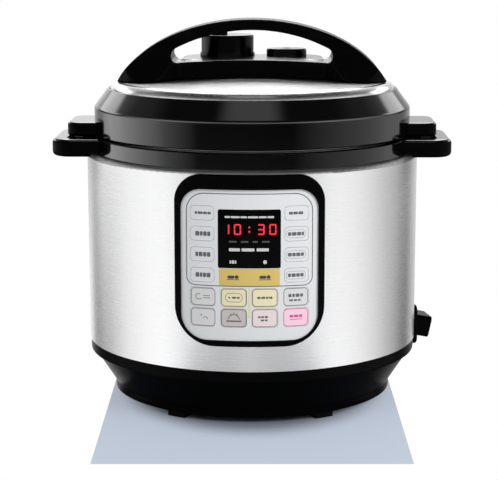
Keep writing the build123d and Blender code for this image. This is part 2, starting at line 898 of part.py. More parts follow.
# Panel bezel: the black frame, its tray through the shell and the control board's posts
bezel_outline = panel_outline(
    panel_half_width, panel_bottom, panel_top, panel_bottom_corner, panel_top_corner
)
bezel_frame = curved_slab(bezel_outline, shell_radius + seat, bezel_radius)
bezel_tray = curved_slab(grown_overlay_outline(tray_margin), tray_radius, face_radius)
overlay_pocket = curved_slab(grown_overlay_outline(0), overlay_back_radius, bezel_radius + fit)
with BuildPart() as panel_bezel:
    add(bezel_frame)
    fillet(panel_bezel.faces().sort_by(Axis.Y)[0].edges(), bezel_edge_round)
    add(bezel_tray)
    add(overlay_pocket, mode=Mode.SUBTRACT)
    extrude(grown_overlay_outline(-tray_ledge), amount=2 * shell_radius, mode=Mode.SUBTRACT)
    for x, z in panel_posts:
        post_front = sqrt(tray_radius**2 - x**2) + panel_post_embed
        with BuildSketch(Plane.XZ.offset(control_board_front)):
            with Locations((x, z)):
                Circle(panel_post_radius)
        extrude(amount=post_front - control_board_front)
        with BuildSketch(Plane.XZ.offset(control_board_front)):
            with Locations((x, z)):
                Circle(screw_radius + screw_play)
        extrude(amount=panel_post_embed + fit, mode=Mode.SUBTRACT)
save(panel_bezel, "panel_bezel")

# Panel overlay: the silver face, with a hole for each key and for the display
overlay_slab = curved_slab(grown_overlay_outline(-seat), overlay_back_radius + seat, face_radius)
display_outline = panel_outline(
    display_half_width, display_bottom, display_top, display_corner, display_corner
)
with BuildPart() as panel_overlay:
    add(overlay_slab)
    extrude(display_outline, amount=2 * shell_radius, mode=Mode.SUBTRACT)
    for name, x, z, width, height in keys:
        hole = key_outline(
            x, z, width + 2 * key_play, height + 2 * key_play, key_corner + key_play
        )
        extrude(hole, amount=2 * shell_radius, mode=Mode.SUBTRACT)
save(panel_overlay, "panel_overlay")

# Keys: each a cap in the overlay, a flange that keeps it in, and a stem towards its switch
key_flange_radius = overlay_back_radius - fit
key_back_radius = key_flange_radius - key_flange_thickness
for name, x, z, width, height in keys:
    stem_tip = (switch_face + 2 * key_travel + fit) / cos(asin(x / face_radius))
    cap = curved_slab(
        key_outline(x, z, width, height, key_corner), key_back_radius, face_radius
    )
    flange = curved_slab(
        key_outline(
            x,
            z,
            width + 2 * key_flange_width,
            height + 2 * key_flange_width,
            key_corner + key_flange_width,
        ),
        key_back_radius,
        key_flange_radius,
    )
    with BuildPart() as key:
        add(cap)
        add(flange)
        with BuildSketch(key_plane(x, z).offset(stem_tip)):
            Circle(key_stem_radius)
        extrude(amount=key_flange_radius - stem_tip)
    save(key, name)

# Display window in the overlay, and the display module behind it
window_outline = panel_outline(
    display_half_width - seat,
    display_bottom + seat,
    display_top - seat,
    display_corner,
    display_corner,
)
window_slab = curved_slab(window_outline, overlay_back_radius + seat, face_radius)
with BuildPart() as display_window:
    add(window_slab)
save(display_window, "display_window")

module_outline = panel_outline(
    display_half_width - module_inset,
    display_bottom + module_inset,
    display_top - module_inset,
    display_corner,
    display_corner,
)
with BuildPart() as display_module:
    extrude(module_outline, amount=control_board_front + module_depth)
    with BuildSketch(Plane.XZ):
        with Locations((0, (display_bottom + display_top) / 2)):
            Rectangle(2 * display_half_width, display_top - display_bottom)
    extrude(amount=control_board_front, mode=Mode.SUBTRACT)
save(display_module, "display_module")

# Control board behind the panel, and a switch under each key
with BuildPart() as control_board:
    with BuildSketch(Plane.XZ.offset(control_board_front - board_thickness)):
        with Locations((0, (overlay_bottom + overlay_top) / 2)):
            Rectangle(2 * control_board_half_width, overlay_top - overlay_bottom + 2 * tray_margin)
        with Locations(*panel_posts):
            Circle(screw_radius + screw_play, mode=Mode.SUBTRACT)
    extrude(amount=board_thickness)
save(control_board, "control_board")

with BuildPart() as tactile_switches:
    for name, x, z, width, height in keys:
        switch_x = switch_face * x / sqrt(face_radius**2 - x**2)
        with BuildSketch(Plane.XZ.offset(control_board_front)):
            with Locations((switch_x, z)):
                Rectangle(switch_size, switch_size)
        extrude(amount=switch_height)
save(tactile_switches, "tactile_switches")

# Mains inlet: a pod that hugs the shell and the bowl, and the socket that stands out of it
drum_points = [(0, foot_top)]
drum_points += [(radius + seat, height - seat) for radius, height in base_outer_points[:-1]]
drum_points += [
    (shell_radius - base_lip_inset + seat, base_height - seat),
    (shell_radius + seat, base_height - seat),
    (shell_radius + seat, shell_top),
    (0, shell_top),
]
drum_radii = [0] + base_outer_radii + [0, 0, 0]
with BuildPart() as inlet_housing:
    with BuildSketch(pod_plane.offset(tray_radius - base_taper)):
        with Locations((0, (inlet_pod_above - inlet_pod_below) / 2)):
            RectangleRounded(inlet_pod_width, inlet_pod_above + inlet_pod_below, inlet_pod_corner)
    extrude(amount=shell_radius + inlet_pod_height - tray_radius + base_taper)
    pod_axis = Axis((0, 0, 0), pod_plane.z_dir)
    fillet(inlet_housing.faces().sort_by(pod_axis)[-1].edges(), inlet_pod_round)
    with BuildSketch(inlet_plane):
        RectangleRounded(socket_width, socket_tall, socket_corner)
    extrude(amount=socket_reach)
    revolve(outline(drum_points, drum_radii), axis=Axis.Z, mode=Mode.SUBTRACT)
    with BuildSketch(inlet_plane.offset(socket_reach)):
        RectangleRounded(
            socket_width - 2 * socket_wall,
            socket_tall - 2 * socket_wall,
            socket_corner - socket_wall / 2,
        )
    extrude(amount=-socket_depth, mode=Mode.SUBTRACT)
    pin_points = [(-pin_spacing, -earth_pin_offset), (pin_spacing, -earth_pin_offset)]
    pin_points.append((0, earth_pin_offset))
    with BuildSketch(inlet_plane):
        with Locations(*pin_points):
            Rectangle(pin_thickness + 2 * screw_play, pin_width + 2 * screw_play)
    extrude(amount=socket_reach, both=True, mode=Mode.SUBTRACT)
save(inlet_housing, "inlet_housing")

with BuildPart() as inlet_pins:
    with BuildSketch(inlet_plane.offset(socket_reach - socket_depth + pin_length)):
        with Locations(*pin_points):
            Rectangle(pin_thickness, pin_width)
    extrude(amount=-pin_length - pin_tail)
save(inlet_pins, "inlet_pins")

# Collector bracket on the rear of the shell, with two sockets for the cup's tongues
bracket_top = shell_top - bracket_drop
bracket_face = shell_radius + bracket_reach
bracket_middle = bracket_top - bracket_height / 2
with BuildPart() as collector_bracket:
    with BuildSketch(Plane.XZ.offset(-bracket_face)):
        with Locations((0, bracket_middle)):
            RectangleRounded(2 * bracket_half_width, bracket_height, bracket_corner)
    extrude(amount=2 * bracket_reach)
    Cylinder(shell_radius + seat, 2 * total_height, mode=Mode.SUBTRACT)
    with BuildSketch(Plane.XZ.offset(-bracket_face)):
        with Locations((-tongue_x, bracket_middle), (tongue_x, bracket_middle)):
            Rectangle(tongue_width + 2 * fit, tongue_thickness + 2 * fit)
    extrude(amount=tongue_length + fit, mode=Mode.SUBTRACT)
save(collector_bracket, "collector_bracket")

# Condensation cup, pushed onto the bracket
cup_back = bracket_face + fit
cup_top = shell_top - cup_drop
cup_middle_y = cup_back + cup_depth / 2
with BuildPart() as condensation_cup:
    with BuildSketch(Plane.XY.offset(cup_top - cup_height)):
        with Locations((0, cup_middle_y)):
            RectangleRounded(2 * cup_half_width, cup_depth, cup_corner)
    extrude(amount=cup_height)
    fillet(condensation_cup.edges().group_by(Axis.Z)[0], cup_bottom_round)
    with BuildSketch(Plane.XY.offset(cup_top - cup_height + cup_wall)):
        with Locations((0, cup_middle_y)):
            RectangleRounded(
                2 * (cup_half_width - cup_wall), cup_depth - 2 * cup_wall, cup_corner - cup_wall
            )
    extrude(amount=cup_height, mode=Mode.SUBTRACT)
    with BuildSketch(Plane.XZ.offset(-cup_back)):
        with Locations((-tongue_x, bracket_middle), (tongue_x, bracket_middle)):
            Rectangle(tongue_width, tongue_thickness)
    extrude(amount=tongue_length)
save(condensation_cup, "condensation_cup")


def screw_up(length):
    """A screw with its head's top at the origin and its shank upwards."""
    with BuildPart() as screw:
        Cylinder(
            screw_head_radius,
            screw_head_height,
            align=(Align.CENTER, Align.CENTER, Align.MAX),
        )
        Cylinder(screw_radius, length, align=(Align.CENTER, Align.CENTER, Align.MIN))
    return screw.part


# Screws of the base: bottom cover, exterior pot's floor and flange, and control board
screw_length = cover_thickness + base_floor_thickness
with BuildPart() as base_screws:
    with Locations(*around(post_circle_radius, cover_screw_angles, cover_bottom)):
        add(screw_up(screw_length))
    with Locations(*around(collar_screw_circle, post_angles, collar_bottom - cavity_wall)):
        add(screw_up(cavity_wall + collar_floor_thickness / 2 - fit))
    with Locations(*around(post_circle_radius, post_angles, cavity_floor)):
        add(screw_up(2 * post_radius - cavity_wall - fit), rotation=(180, 0, 0))
    screw_places = [(x, -control_board_front + board_thickness, z) for x, z in panel_posts]
    with Locations(*screw_places):
        add(screw_up(board_thickness + panel_post_embed), rotation=(90, 0, 0))
save(base_screws, "base_screws")

# Cooking pot
with BuildPart() as inner_pot:
    revolve(
        outline(
            [
                (0, pot_bottom),
                (pot_radius, pot_bottom),
                (pot_radius, pot_rim_top - pot_rim_thickness),
                (pot_radius + pot_rim_width, pot_rim_top - pot_rim_thickness),
                (pot_radius + pot_rim_width, pot_rim_top),
                (pot_inner_radius, pot_rim_top),
                (pot_inner_radius, pot_bottom + pot_floor),
                (0, pot_bottom + pot_floor),
            ],
            [0, pot_corner, 0, 0, 0, 0, pot_corner - pot_wall, 0],
        ),
        axis=Axis.Z,
    )
save(inner_pot, "inner_pot")

# Lid cover: the black ring with two fins
fin_tip = collar_radius + fin_reach
with BuildPart() as lid_cover:
    with BuildSketch(Plane.XY.offset(lid_bottom - fin_drop)):
        with BuildLine():
            FilletPolyline(
                (0, -fin_half_width),
                (fin_tip, -fin_half_width),
                (fin_tip, fin_half_width),
                (0, fin_half_width),
                radius=[0, fin_corner, fin_corner, 0],
                close=True,
            )
        make_face()
    extrude(amount=fin_drop + fin_height)
    fin_edges = lid_cover.edges().filter_by_position(Axis.X, collar_radius, fin_tip)
    fillet(fin_edges.filter_by(Axis.Z, reverse=True), fin_round)
    mirror(about=Plane.YZ)
    with Locations((0, 0, lid_bottom)):
        Cylinder(
            collar_radius + fit,
            2 * fin_drop,
            align=(Align.CENTER, Align.CENTER, Align.MAX),
            mode=Mode.SUBTRACT,
        )
    revolve(
        outline(
            [
                (0, lid_bottom),
                (collar_radius, lid_bottom),
                (collar_radius, lid_shoulder),
                (lid_lip_radius, lid_top),
                (dome_pocket_radius, lid_top),
                (dome_pocket_radius, plate_edge - seat),
                (0, plate_edge - seat),
            ],
            [0, lid_edge_round, lid_shoulder_round, lid_lip_width / 2, lid_lip_width / 4, 0, 0],
        ),
        axis=Axis.Z,
    )
    flange_inner_radius = skirt_radius - lid_flange_inset
    wall_inner_radius = collar_radius - lid_wall
    ledge_radius = dome_pocket_radius - plate_ledge_width
    revolve(
        outline(
            [
                (0, lid_bottom - lid_seam),
                (wall_inner_radius, lid_bottom - lid_seam),
                (wall_inner_radius, pressure_ring_top),
                (flange_inner_radius, pressure_ring_top),
                (flange_inner_radius, pressure_ring_top + lid_flange_thickness),
                (wall_inner_radius, pressure_ring_top + lid_flange_thickness),
                (wall_inner_radius, lid_shoulder - lid_wall / 2),
                (dome_pocket_radius - lid_wall / 2, plate_edge - lid_wall),
                (ledge_radius, plate_edge - lid_wall),
                (ledge_radius, lid_top),
                (0, lid_top),
            ]
        ),
        axis=Axis.Z,
        mode=Mode.SUBTRACT,
    )
save(lid_cover, "lid_cover")

# Places on the lid
valve_point = (valve_x, valve_y)
float_point = (float_x, float_y)
handle_screw_points = [
    (x, y) for x in (-flare_end, flare_end) for y in (-handle_screw_y, handle_screw_y)
]
screw_reach = hypot(flare_end, handle_screw_y) + screw_head_radius
dome_under = dome_centre + sqrt((dome_curve - plate_thickness) ** 2 - screw_reach**2) - seat


def dome_form(grow, bottom):
    """The dome with its rolled rim as a full solid, down to a height and grown by an offset."""
    edge = dome_radius + grow
    curve = dome_curve + grow
    with BuildPart() as form:
        with BuildSketch(Plane.XZ) as profile:
            with BuildLine():
                crown = ThreePointArc(
                    *[(x, dome_centre + sqrt(curve**2 - x**2)) for x in (0, edge / 2, edge)]
                )
                Polyline(crown @ 1, (edge, bottom), (0, bottom), crown @ 0)
            make_face()
            fillet(profile.vertices().sort_by_distance(crown @ 1)[0], dome_rim_round + grow)
        revolve(axis=Axis.Z)
    return form.part


# Lid top plate: the steel dome
with BuildPart() as lid_top_plate:
    add(dome_form(0, plate_edge))
    add(dome_form(-plate_thickness, lid_shoulder), mode=Mode.SUBTRACT)
    with BuildSketch(Plane.XY.offset(plate_edge)):
        with Locations(valve_point, float_point):
            Circle(dome_hole_radius)
        with Locations(*handle_screw_points):
            Circle(screw_radius + fit)
    extrude(amount=total_height, mode=Mode.SUBTRACT)
save(lid_top_plate, "lid_top_plate")

# Pressure lid: the inner plate with its skirt and bayonet lugs
with BuildPart() as pressure_lid:
    step_bottom_radius = pressure_step_radius + pressure_step_run
    revolve(
        outline(
            [
                (0, pressure_bottom),
                (pressure_step_radius - pressure_thickness / 2, pressure_bottom),
                (step_bottom_radius - pressure_thickness / 2, pressure_ring_bottom),
                (skirt_inner_radius, pressure_ring_bottom),
                (skirt_inner_radius, lid_lug_bottom),
                (skirt_radius, lid_lug_bottom),
                (skirt_radius, pressure_ring_top),
                (step_bottom_radius, pressure_ring_top),
                (pressure_step_radius, pressure_top),
                (0, pressure_top),
            ]
        ),
        axis=Axis.Z,
    )
    for angle in lug_angles:
        lug = ring_sector(
            cavity_radius + lid_gap,
            skirt_inner_radius + skirt_wall / 2,
            angle,
            lug_angle,
            lid_lug_bottom,
        )
        extrude(lug, amount=lid_lug_thickness)
    with BuildSketch(Plane.XY.offset(pressure_bottom)):
        with Locations(float_point):
            Circle(float_radius + float_play)
        with Locations(valve_point):
            Circle(pipe_radius + screw_play)
    extrude(amount=2 * pressure_thickness, both=True, mode=Mode.SUBTRACT)
save(pressure_lid, "pressure_lid")

# Sealing ring: a body under the pressure lid and a lip on the pot's rim
ring_top = pressure_ring_bottom - fit
ring_bottom = pot_rim_top + fit
ring_outer_radius = pot_radius + pot_rim_width
with BuildPart() as sealing_ring:
    revolve(
        outline(
            [
                (ring_inner_radius, ring_top),
                (ring_inner_radius, ring_bottom),
                (ring_outer_radius, ring_bottom),
                (ring_outer_radius, ring_top),
                (ring_outer_radius - ring_lip, ring_top),
                (ring_outer_radius - ring_lip, ring_bottom + ring_lip),
                (ring_inner_radius + ring_lip, ring_bottom + ring_lip),
                (ring_inner_radius + ring_lip, ring_top),
            ],
            ring_round,
        ),
        axis=Axis.Z,
    )
save(sealing_ring, "sealing_ring")

# Ring rack: the steel hoop that keeps the sealing ring in the lid
rack_radius = ring_inner_radius - fit
with BuildPart() as ring_rack:
    revolve(
        outline(
            [
                (rack_radius - rack_width, pressure_ring_bottom - rack_height),
                (rack_radius, pressure_ring_bottom - rack_height),
                (rack_radius, pressure_ring_bottom),
                (rack_radius - rack_wire, pressure_ring_bottom),
                (rack_radius - rack_wire, pressure_ring_bottom - rack_height + rack_wire),
                (rack_radius - rack_width, pressure_ring_bottom - rack_height + rack_wire),
            ]
        ),
        axis=Axis.Z,
    )
save(ring_rack, "ring_rack")

# Lid handle: the arch with its flared feet, the cross bar and the valve deck
arch_half_span = dome_radius - arch_end_inset
arch_centre = lid_top - arch_base_drop
arch_rise = arch_top - arch_centre
window_top = arch_top - arch_thickness
window_bottom = window_top - window_height
bar_top = window_bottom
deck_top = bar_top - deck_drop
with BuildPart() as lid_handle:
    with BuildSketch(Plane.XZ) as arch_front:
        with Locations((0, arch_centre)):
            Ellipse(arch_half_span, arch_rise)
            Rectangle(
                2 * arch_half_span,
                arch_rise,
                align=(Align.CENTER, Align.MAX),
                mode=Mode.SUBTRACT,
            )
        with BuildLine():
            over = ThreePointArc(
                (-window_half_width, window_top - window_top_sag),
                (0, window_top),
                (window_half_width, window_top - window_top_sag),
            )
            under = ThreePointArc(
                (-window_half_width, window_bottom - window_bottom_sag),
                (0, window_bottom),
                (window_half_width, window_bottom - window_bottom_sag),
            )
            Line(over @ 0, under @ 0)
            Line(over @ 1, under @ 1)
        make_face(mode=Mode.SUBTRACT)
        window_corners = arch_front.vertices().filter_by(
            lambda vertex: abs(abs(vertex.X) - window_half_width) < seat
        )
        fillet(window_corners, window_corner)
    extrude(amount=foot_flare_half_depth, both=True)
    with BuildSketch(Plane.XY.offset(arch_centre)):
        with BuildLine():
            quarter = [
                (flare_start, arch_half_depth),
                (flare_full, foot_flare_half_depth),
                (flare_end, foot_flare_half_depth),
                (arch_half_span, arch_tip_half_depth),
            ]
            half = quarter + [(x, -y) for x, y in reversed(quarter)]
            FilletPolyline(
                *half,
                *[(-x, -y) for x, y in half],
                radius=(flare_plan_rounds + flare_plan_rounds[::-1]) * 2,
                close=True,
            )
        make_face()
    extrude(amount=2 * arch_rise, mode=Mode.INTERSECT)
    flare_bottom = lid_top + foot_wall_height
    with BuildSketch(Plane.YZ):
        with BuildLine():
            side = [
                (foot_flare_half_depth, arch_centre),
                (foot_flare_half_depth, flare_bottom),
                (arch_half_depth, arch_top - arch_shoulder_drop),
                (arch_half_depth, arch_top),
            ]
            FilletPolyline(
                *side,
                *[(-y, z) for y, z in reversed(side)],
                radius=[0, *flare_side_rounds, 0, 0, *flare_side_rounds[::-1], 0],
                close=True,
            )
        make_face()
    extrude(amount=arch_half_span, both=True, mode=Mode.INTERSECT)
    with BuildSketch(Plane.XZ.offset(-arch_half_depth)):
        with BuildLine():
            crown = ThreePointArc(
                (-bar_half_length, bar_top - window_bottom_sag),
                (0, bar_top),
                (bar_half_length, bar_top - window_bottom_sag),
            )
            Polyline(
                crown @ 1, (bar_half_length, lid_top), (-bar_half_length, lid_top), crown @ 0
            )
        make_face()
    extrude(amount=arch_half_depth + bar_front)
    with BuildSketch(Plane.XY.offset(lid_top)):
        with BuildLine():
            FilletPolyline(
                (-deck_half_width, 0),
                (deck_half_width, 0),
                (deck_half_width, deck_rear),
                (-deck_half_width, deck_rear),
                radius=[0, 0, deck_corner, deck_corner],
                close=True,
            )
        make_face()
    extrude(amount=deck_top - lid_top)
    add(dome_form(seat, arch_centre), mode=Mode.SUBTRACT)
    with BuildSketch(Plane.XY.offset(lid_top)):
        with Locations(valve_point):
            Circle(pipe_radius + fit)
        with Locations(float_point):
            Circle(float_radius + float_play)
    extrude(amount=arch_rise, mode=Mode.SUBTRACT)
    with BuildSketch(Plane.XY.offset(arch_centre)):
        with Locations(*handle_screw_points):
            Circle(screw_radius + screw_play)
    extrude(amount=dome_under + handle_screw_length + fit - arch_centre, mode=Mode.SUBTRACT)
save(lid_handle, "lid_handle")

# Handle screws, up through the dome into the handle's feet
with BuildPart() as handle_screws:
    with Locations(*[(x, y, dome_under) for x, y in handle_screw_points]):
        add(screw_up(handle_screw_length))
save(handle_screws, "handle_screws")

# Steam pipe through the pressure lid, its nut, and the shield around its inlet
knob_bottom = deck_top + fit
pipe_top = knob_bottom + pipe_insert
pipe_bottom = pressure_bottom - pipe_flange_thickness
with BuildPart() as steam_pipe:
    with BuildSketch(Plane.XY.offset(pipe_bottom)):
        with Locations(valve_point):
            Circle(pipe_radius)
    extrude(amount=pipe_top - pipe_bottom)
    with BuildSketch(Plane.XY.offset(pipe_bottom)):
        with Locations(valve_point):
            RegularPolygon(pipe_flange_radius, 6)
    extrude(amount=pipe_flange_thickness)
    with BuildSketch(Plane.XY.offset(pipe_bottom)):
        with Locations(valve_point):
            Circle(pipe_bore_radius)
    extrude(amount=pipe_top - pipe_bottom, mode=Mode.SUBTRACT)
save(steam_pipe, "steam_pipe")

with BuildPart() as pipe_nut:
    with BuildSketch(Plane.XY.offset(pressure_top)):
        with Locations(valve_point):
            RegularPolygon(nut_across_flats / 2, 6, major_radius=False)
            Circle(pipe_radius + screw_play, mode=Mode.SUBTRACT)
    extrude(amount=nut_thickness)
save(pipe_nut, "pipe_nut")

shield_bottom = pressure_bottom - shield_depth
with BuildPart() as antiblock_shield:
    with BuildSketch(Plane.XY.offset(shield_bottom)):
        with Locations(valve_point):
            Circle(shield_radius)
    extrude(amount=shield_depth)
    fillet(antiblock_shield.edges().group_by(Axis.Z)[0], shield_round)
    with BuildSketch(Plane.XY.offset(shield_bottom + shield_wall)):
        with Locations(valve_point):
            Circle(shield_radius - shield_wall)
    extrude(amount=shield_depth, mode=Mode.SUBTRACT)
    for index in range(shield_slot_count):
        slot_turn = index * 360 / shield_slot_count
        slot_plane = Plane(
            origin=(valve_x, valve_y, shield_bottom + shield_depth / 2),
            x_dir=(-sin(radians(slot_turn)), cos(radians(slot_turn)), 0),
            z_dir=(cos(radians(slot_turn)), sin(radians(slot_turn)), 0),
        )
        with BuildSketch(slot_plane):
            Rectangle(shield_slot_width, shield_depth / 2)
        extrude(amount=2 * shield_radius, mode=Mode.SUBTRACT)
save(antiblock_shield, "antiblock_shield")

# Steam valve knob: a waisted disc with a finger tab
with BuildPart() as steam_valve_knob:
    with BuildSketch(Plane.XY.offset(knob_bottom)):
        with Locations(valve_point):
            Circle(knob_radius)
    extrude(amount=knob_skirt_height)
    with BuildSketch(Plane.XY.offset(knob_bottom)):
        with Locations(valve_point):
            Circle(knob_radius - knob_waist_inset)
    extrude(amount=knob_height)
    fillet(steam_valve_knob.edges().group_by(Axis.Z)[-1], knob_round)
    with BuildSketch(Plane.XY.offset(knob_bottom + knob_skirt_height)):
        with Locations((valve_x - tab_length / 2, valve_y)):
            RectangleRounded(tab_length, tab_width, tab_corner)
    extrude(amount=knob_height - knob_skirt_height + tab_height)
    fillet(steam_valve_knob.edges().group_by(Axis.Z)[-1], knob_round)
    with BuildSketch(Plane.XY.offset(knob_bottom)):
        with Locations(valve_point):
            Circle(pipe_radius + fit)
    extrude(amount=pipe_insert + fit, mode=Mode.SUBTRACT)
save(steam_valve_knob, "steam_valve_knob")

# Float valve: its cover on the deck, the pin that rises, and the silicone cap at its foot
float_cover_top = deck_top + float_cover_height
with BuildPart() as float_cover:
    with BuildSketch(Plane.XY.offset(deck_top)):
        with Locations(float_point):
            RectangleRounded(float_cover_length, float_cover_width, float_cover_width / 2 - fit)
    extrude(amount=float_cover_height)
    fillet(float_cover.edges().group_by(Axis.Z)[-1], knob_round)
    with BuildSketch(Plane.XY.offset(deck_top)):
        with Locations(float_point):
            Circle(float_radius + float_play)
    extrude(amount=float_cover_height, mode=Mode.SUBTRACT)
save(float_cover, "float_cover")

float_seal_top = pressure_bottom - float_rise - fit
float_bottom = float_seal_top - float_seal_thickness
float_top = float_cover_top - float_top_recess
with BuildPart() as float_pin:
    with BuildSketch(Plane.XY.offset(float_bottom)):
        with Locations(float_point):
            Circle(float_radius)
    extrude(amount=float_top - float_bottom)
    with BuildSketch(Plane.XY.offset(pressure_top)):
        with Locations(float_point):
            Circle(float_shoulder_radius)
    extrude(amount=float_shoulder_height)
save(float_pin, "float_pin")

with BuildPart() as float_seal:
    with BuildSketch(Plane.XY.offset(float_bottom)):
        with Locations(float_point):
            Circle(float_seal_radius)
            Circle(float_radius + screw_play, mode=Mode.SUBTRACT)
    extrude(amount=float_seal_thickness)
    fillet(float_seal.edges().group_by(Axis.Z)[0].sort_by(SortBy.RADIUS)[-1], float_seal_round)
save(float_seal, "float_seal")

# Locking pin, which slides away from the float in its guide, and its spring
lock_angle = atan2(float_y, float_x)
lock_head = hypot(float_x, float_y) + float_shoulder_radius + lock_gap
lock_guide_start = lock_head + lock_head_thickness + lock_spring_length
lock_height = pressure_top + lock_lift
lock_plane = Plane(
    origin=(0, 0, lock_height),
    x_dir=(-sin(lock_angle), cos(lock_angle), 0),
    z_dir=(cos(lock_angle), sin(lock_angle), 0),
)
with BuildPart() as lock_pin:
    with BuildSketch(lock_plane.offset(lock_head)):
        Circle(lock_head_radius)
    extrude(amount=lock_head_thickness)
    with BuildSketch(lock_plane.offset(lock_head)):
        Circle(lock_radius)
    extrude(amount=lock_length)
save(lock_pin, "lock_pin")

with BuildPart() as lock_guide:
    with BuildSketch(lock_plane.offset(lock_guide_start)):
        Rectangle(lock_guide_width, 2 * lock_lift)
        Circle(lock_radius + lock_play, mode=Mode.SUBTRACT)
    extrude(amount=lock_guide_length)
save(lock_guide, "lock_guide")

lock_spring_room = lock_spring_length - 2 * lock_spring_wire - 2 * seat
with BuildPart() as lock_spring:
    with BuildLine() as lock_spring_line:
        Helix(
            lock_spring_room / lock_spring_turns,
            lock_spring_room,
            lock_spring_radius,
            center=lock_plane.offset(
                lock_head + lock_head_thickness + lock_spring_wire + seat
            ).origin,
            direction=lock_plane.z_dir,
        )
    with BuildSketch(Plane(origin=lock_spring_line.line @ 0, z_dir=lock_spring_line.line % 0)):
        Circle(lock_spring_wire)
    sweep(is_frenet=True)
save(lock_spring, "lock_spring")
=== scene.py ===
import json
from collections import namedtuple
from math import cos, hypot, pi, radians, sin, sqrt

import bmesh
import bpy
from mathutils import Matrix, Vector

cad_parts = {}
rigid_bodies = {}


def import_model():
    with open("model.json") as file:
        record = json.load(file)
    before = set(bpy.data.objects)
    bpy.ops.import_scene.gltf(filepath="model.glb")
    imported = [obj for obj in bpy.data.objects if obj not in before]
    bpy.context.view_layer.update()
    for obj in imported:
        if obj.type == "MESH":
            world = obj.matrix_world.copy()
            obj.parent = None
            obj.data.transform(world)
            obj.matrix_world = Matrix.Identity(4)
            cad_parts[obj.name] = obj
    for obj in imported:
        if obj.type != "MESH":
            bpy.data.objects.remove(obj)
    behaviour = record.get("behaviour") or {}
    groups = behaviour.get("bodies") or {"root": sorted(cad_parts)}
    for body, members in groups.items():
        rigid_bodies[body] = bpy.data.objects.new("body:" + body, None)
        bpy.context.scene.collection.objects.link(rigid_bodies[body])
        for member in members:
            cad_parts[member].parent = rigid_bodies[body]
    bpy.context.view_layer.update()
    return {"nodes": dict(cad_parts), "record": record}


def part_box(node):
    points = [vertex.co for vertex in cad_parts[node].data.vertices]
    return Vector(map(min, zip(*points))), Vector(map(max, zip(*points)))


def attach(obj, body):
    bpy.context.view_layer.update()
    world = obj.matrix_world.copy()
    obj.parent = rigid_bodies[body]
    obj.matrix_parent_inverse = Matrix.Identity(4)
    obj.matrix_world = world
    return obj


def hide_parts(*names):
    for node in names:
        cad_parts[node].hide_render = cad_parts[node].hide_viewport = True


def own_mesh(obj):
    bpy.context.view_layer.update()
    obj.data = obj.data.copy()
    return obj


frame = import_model()
nodes = frame["nodes"]
record = frame["record"]
MM = 0.001


def added(name, data):
    """A new object in the scene."""
    piece = bpy.data.objects.new(name, data)
    bpy.context.scene.collection.objects.link(piece)
    return piece


# Shader nodes, in a material or in the world

# The sockets of a Mix node go by number, because those for numbers and for colours share their names
MIX_SHARE = 0
NUMBER_FROM, NUMBER_TO, NUMBER_RESULT = 2, 3, 0
COLOUR_FROM, COLOUR_TO, COLOUR_RESULT = 6, 7, 2
# Most of a noise lies between these two values
NOISE_LOW, NOISE_HIGH = 0.3, 0.7


def add_node(owner, kind, **values):
    """A node of that kind, with its properties set."""
    node = owner.node_tree.nodes.new(kind)
    for key, value in values.items():
        setattr(node, key, value)
    return node


def link(owner, source, target):
    owner.node_tree.links.new(source, target)


def feed(owner, value, socket):
    """A number or a node's output, put into a socket."""
    if isinstance(value, (int, float)):
        socket.default_value = value
    else:
        link(owner, value, socket)


def calculated(owner, operation, first, second=0.0):
    """The result of an operation on two numbers or outputs."""
    node = add_node(owner, "ShaderNodeMath", operation=operation)
    feed(owner, first, node.inputs[0])
    feed(owner, second, node.inputs[1])
    return node.outputs["Value"]


def blended(owner, share, first, second):
    """A number that goes from the first to the second as the share goes from 0 to 1."""
    node = add_node(owner, "ShaderNodeMix")
    feed(owner, share, node.inputs[MIX_SHARE])
    feed(owner, first, node.inputs[NUMBER_FROM])
    feed(owner, second, node.inputs[NUMBER_TO])
    return node.outputs[NUMBER_RESULT]


def tint(owner, share, low, high):
    """A colour between two others."""
    node = add_node(owner, "ShaderNodeMix", data_type="RGBA")
    node.inputs[COLOUR_FROM].default_value = (*low, 1)
    node.inputs[COLOUR_TO].default_value = (*high, 1)
    link(owner, share, node.inputs[MIX_SHARE])
    return node.outputs[COLOUR_RESULT]


def mapped(owner, value, start, end, low=0.0, high=1.0, curve="LINEAR"):
    """A number that goes from low to high as the value goes from start to end."""
    node = add_node(owner, "ShaderNodeMapRange", interpolation_type=curve)
    for name, number in (("From Min", start), ("From Max", end), ("To Min", low), ("To Max", high)):
        node.inputs[name].default_value = number
    link(owner, value, node.inputs["Value"])
    return node.outputs["Result"]


def noise(owner, vector, scale, detail=3.0):
    """A noise texture on a coordinate output."""
    node = add_node(owner, "ShaderNodeTexNoise")
    node.inputs["Scale"].default_value = scale
    node.inputs["Detail"].default_value = detail
    link(owner, vector, node.inputs["Vector"])
    return node.outputs["Fac"]


def uneven(owner, grain, level, play):
    """A level that a noise varies by a share of itself."""
    return mapped(owner, grain, NOISE_LOW, NOISE_HIGH, level * (1 - play), level * (1 + play))


def object_place(owner):
    return add_node(owner, "ShaderNodeTexCoord").outputs["Object"]


def split(owner, vector):
    """The three parts of a place or direction."""
    node = add_node(owner, "ShaderNodeSeparateXYZ")
    link(owner, vector, node.inputs["Vector"])
    return node.outputs


def turn_from_front(owner, parts):
    """The angle of a place or direction round the upright axis, from the front."""
    forwards = calculated(owner, "MULTIPLY", parts["Y"], -1.0)
    return calculated(owner, "ARCTAN2", parts["X"], forwards)


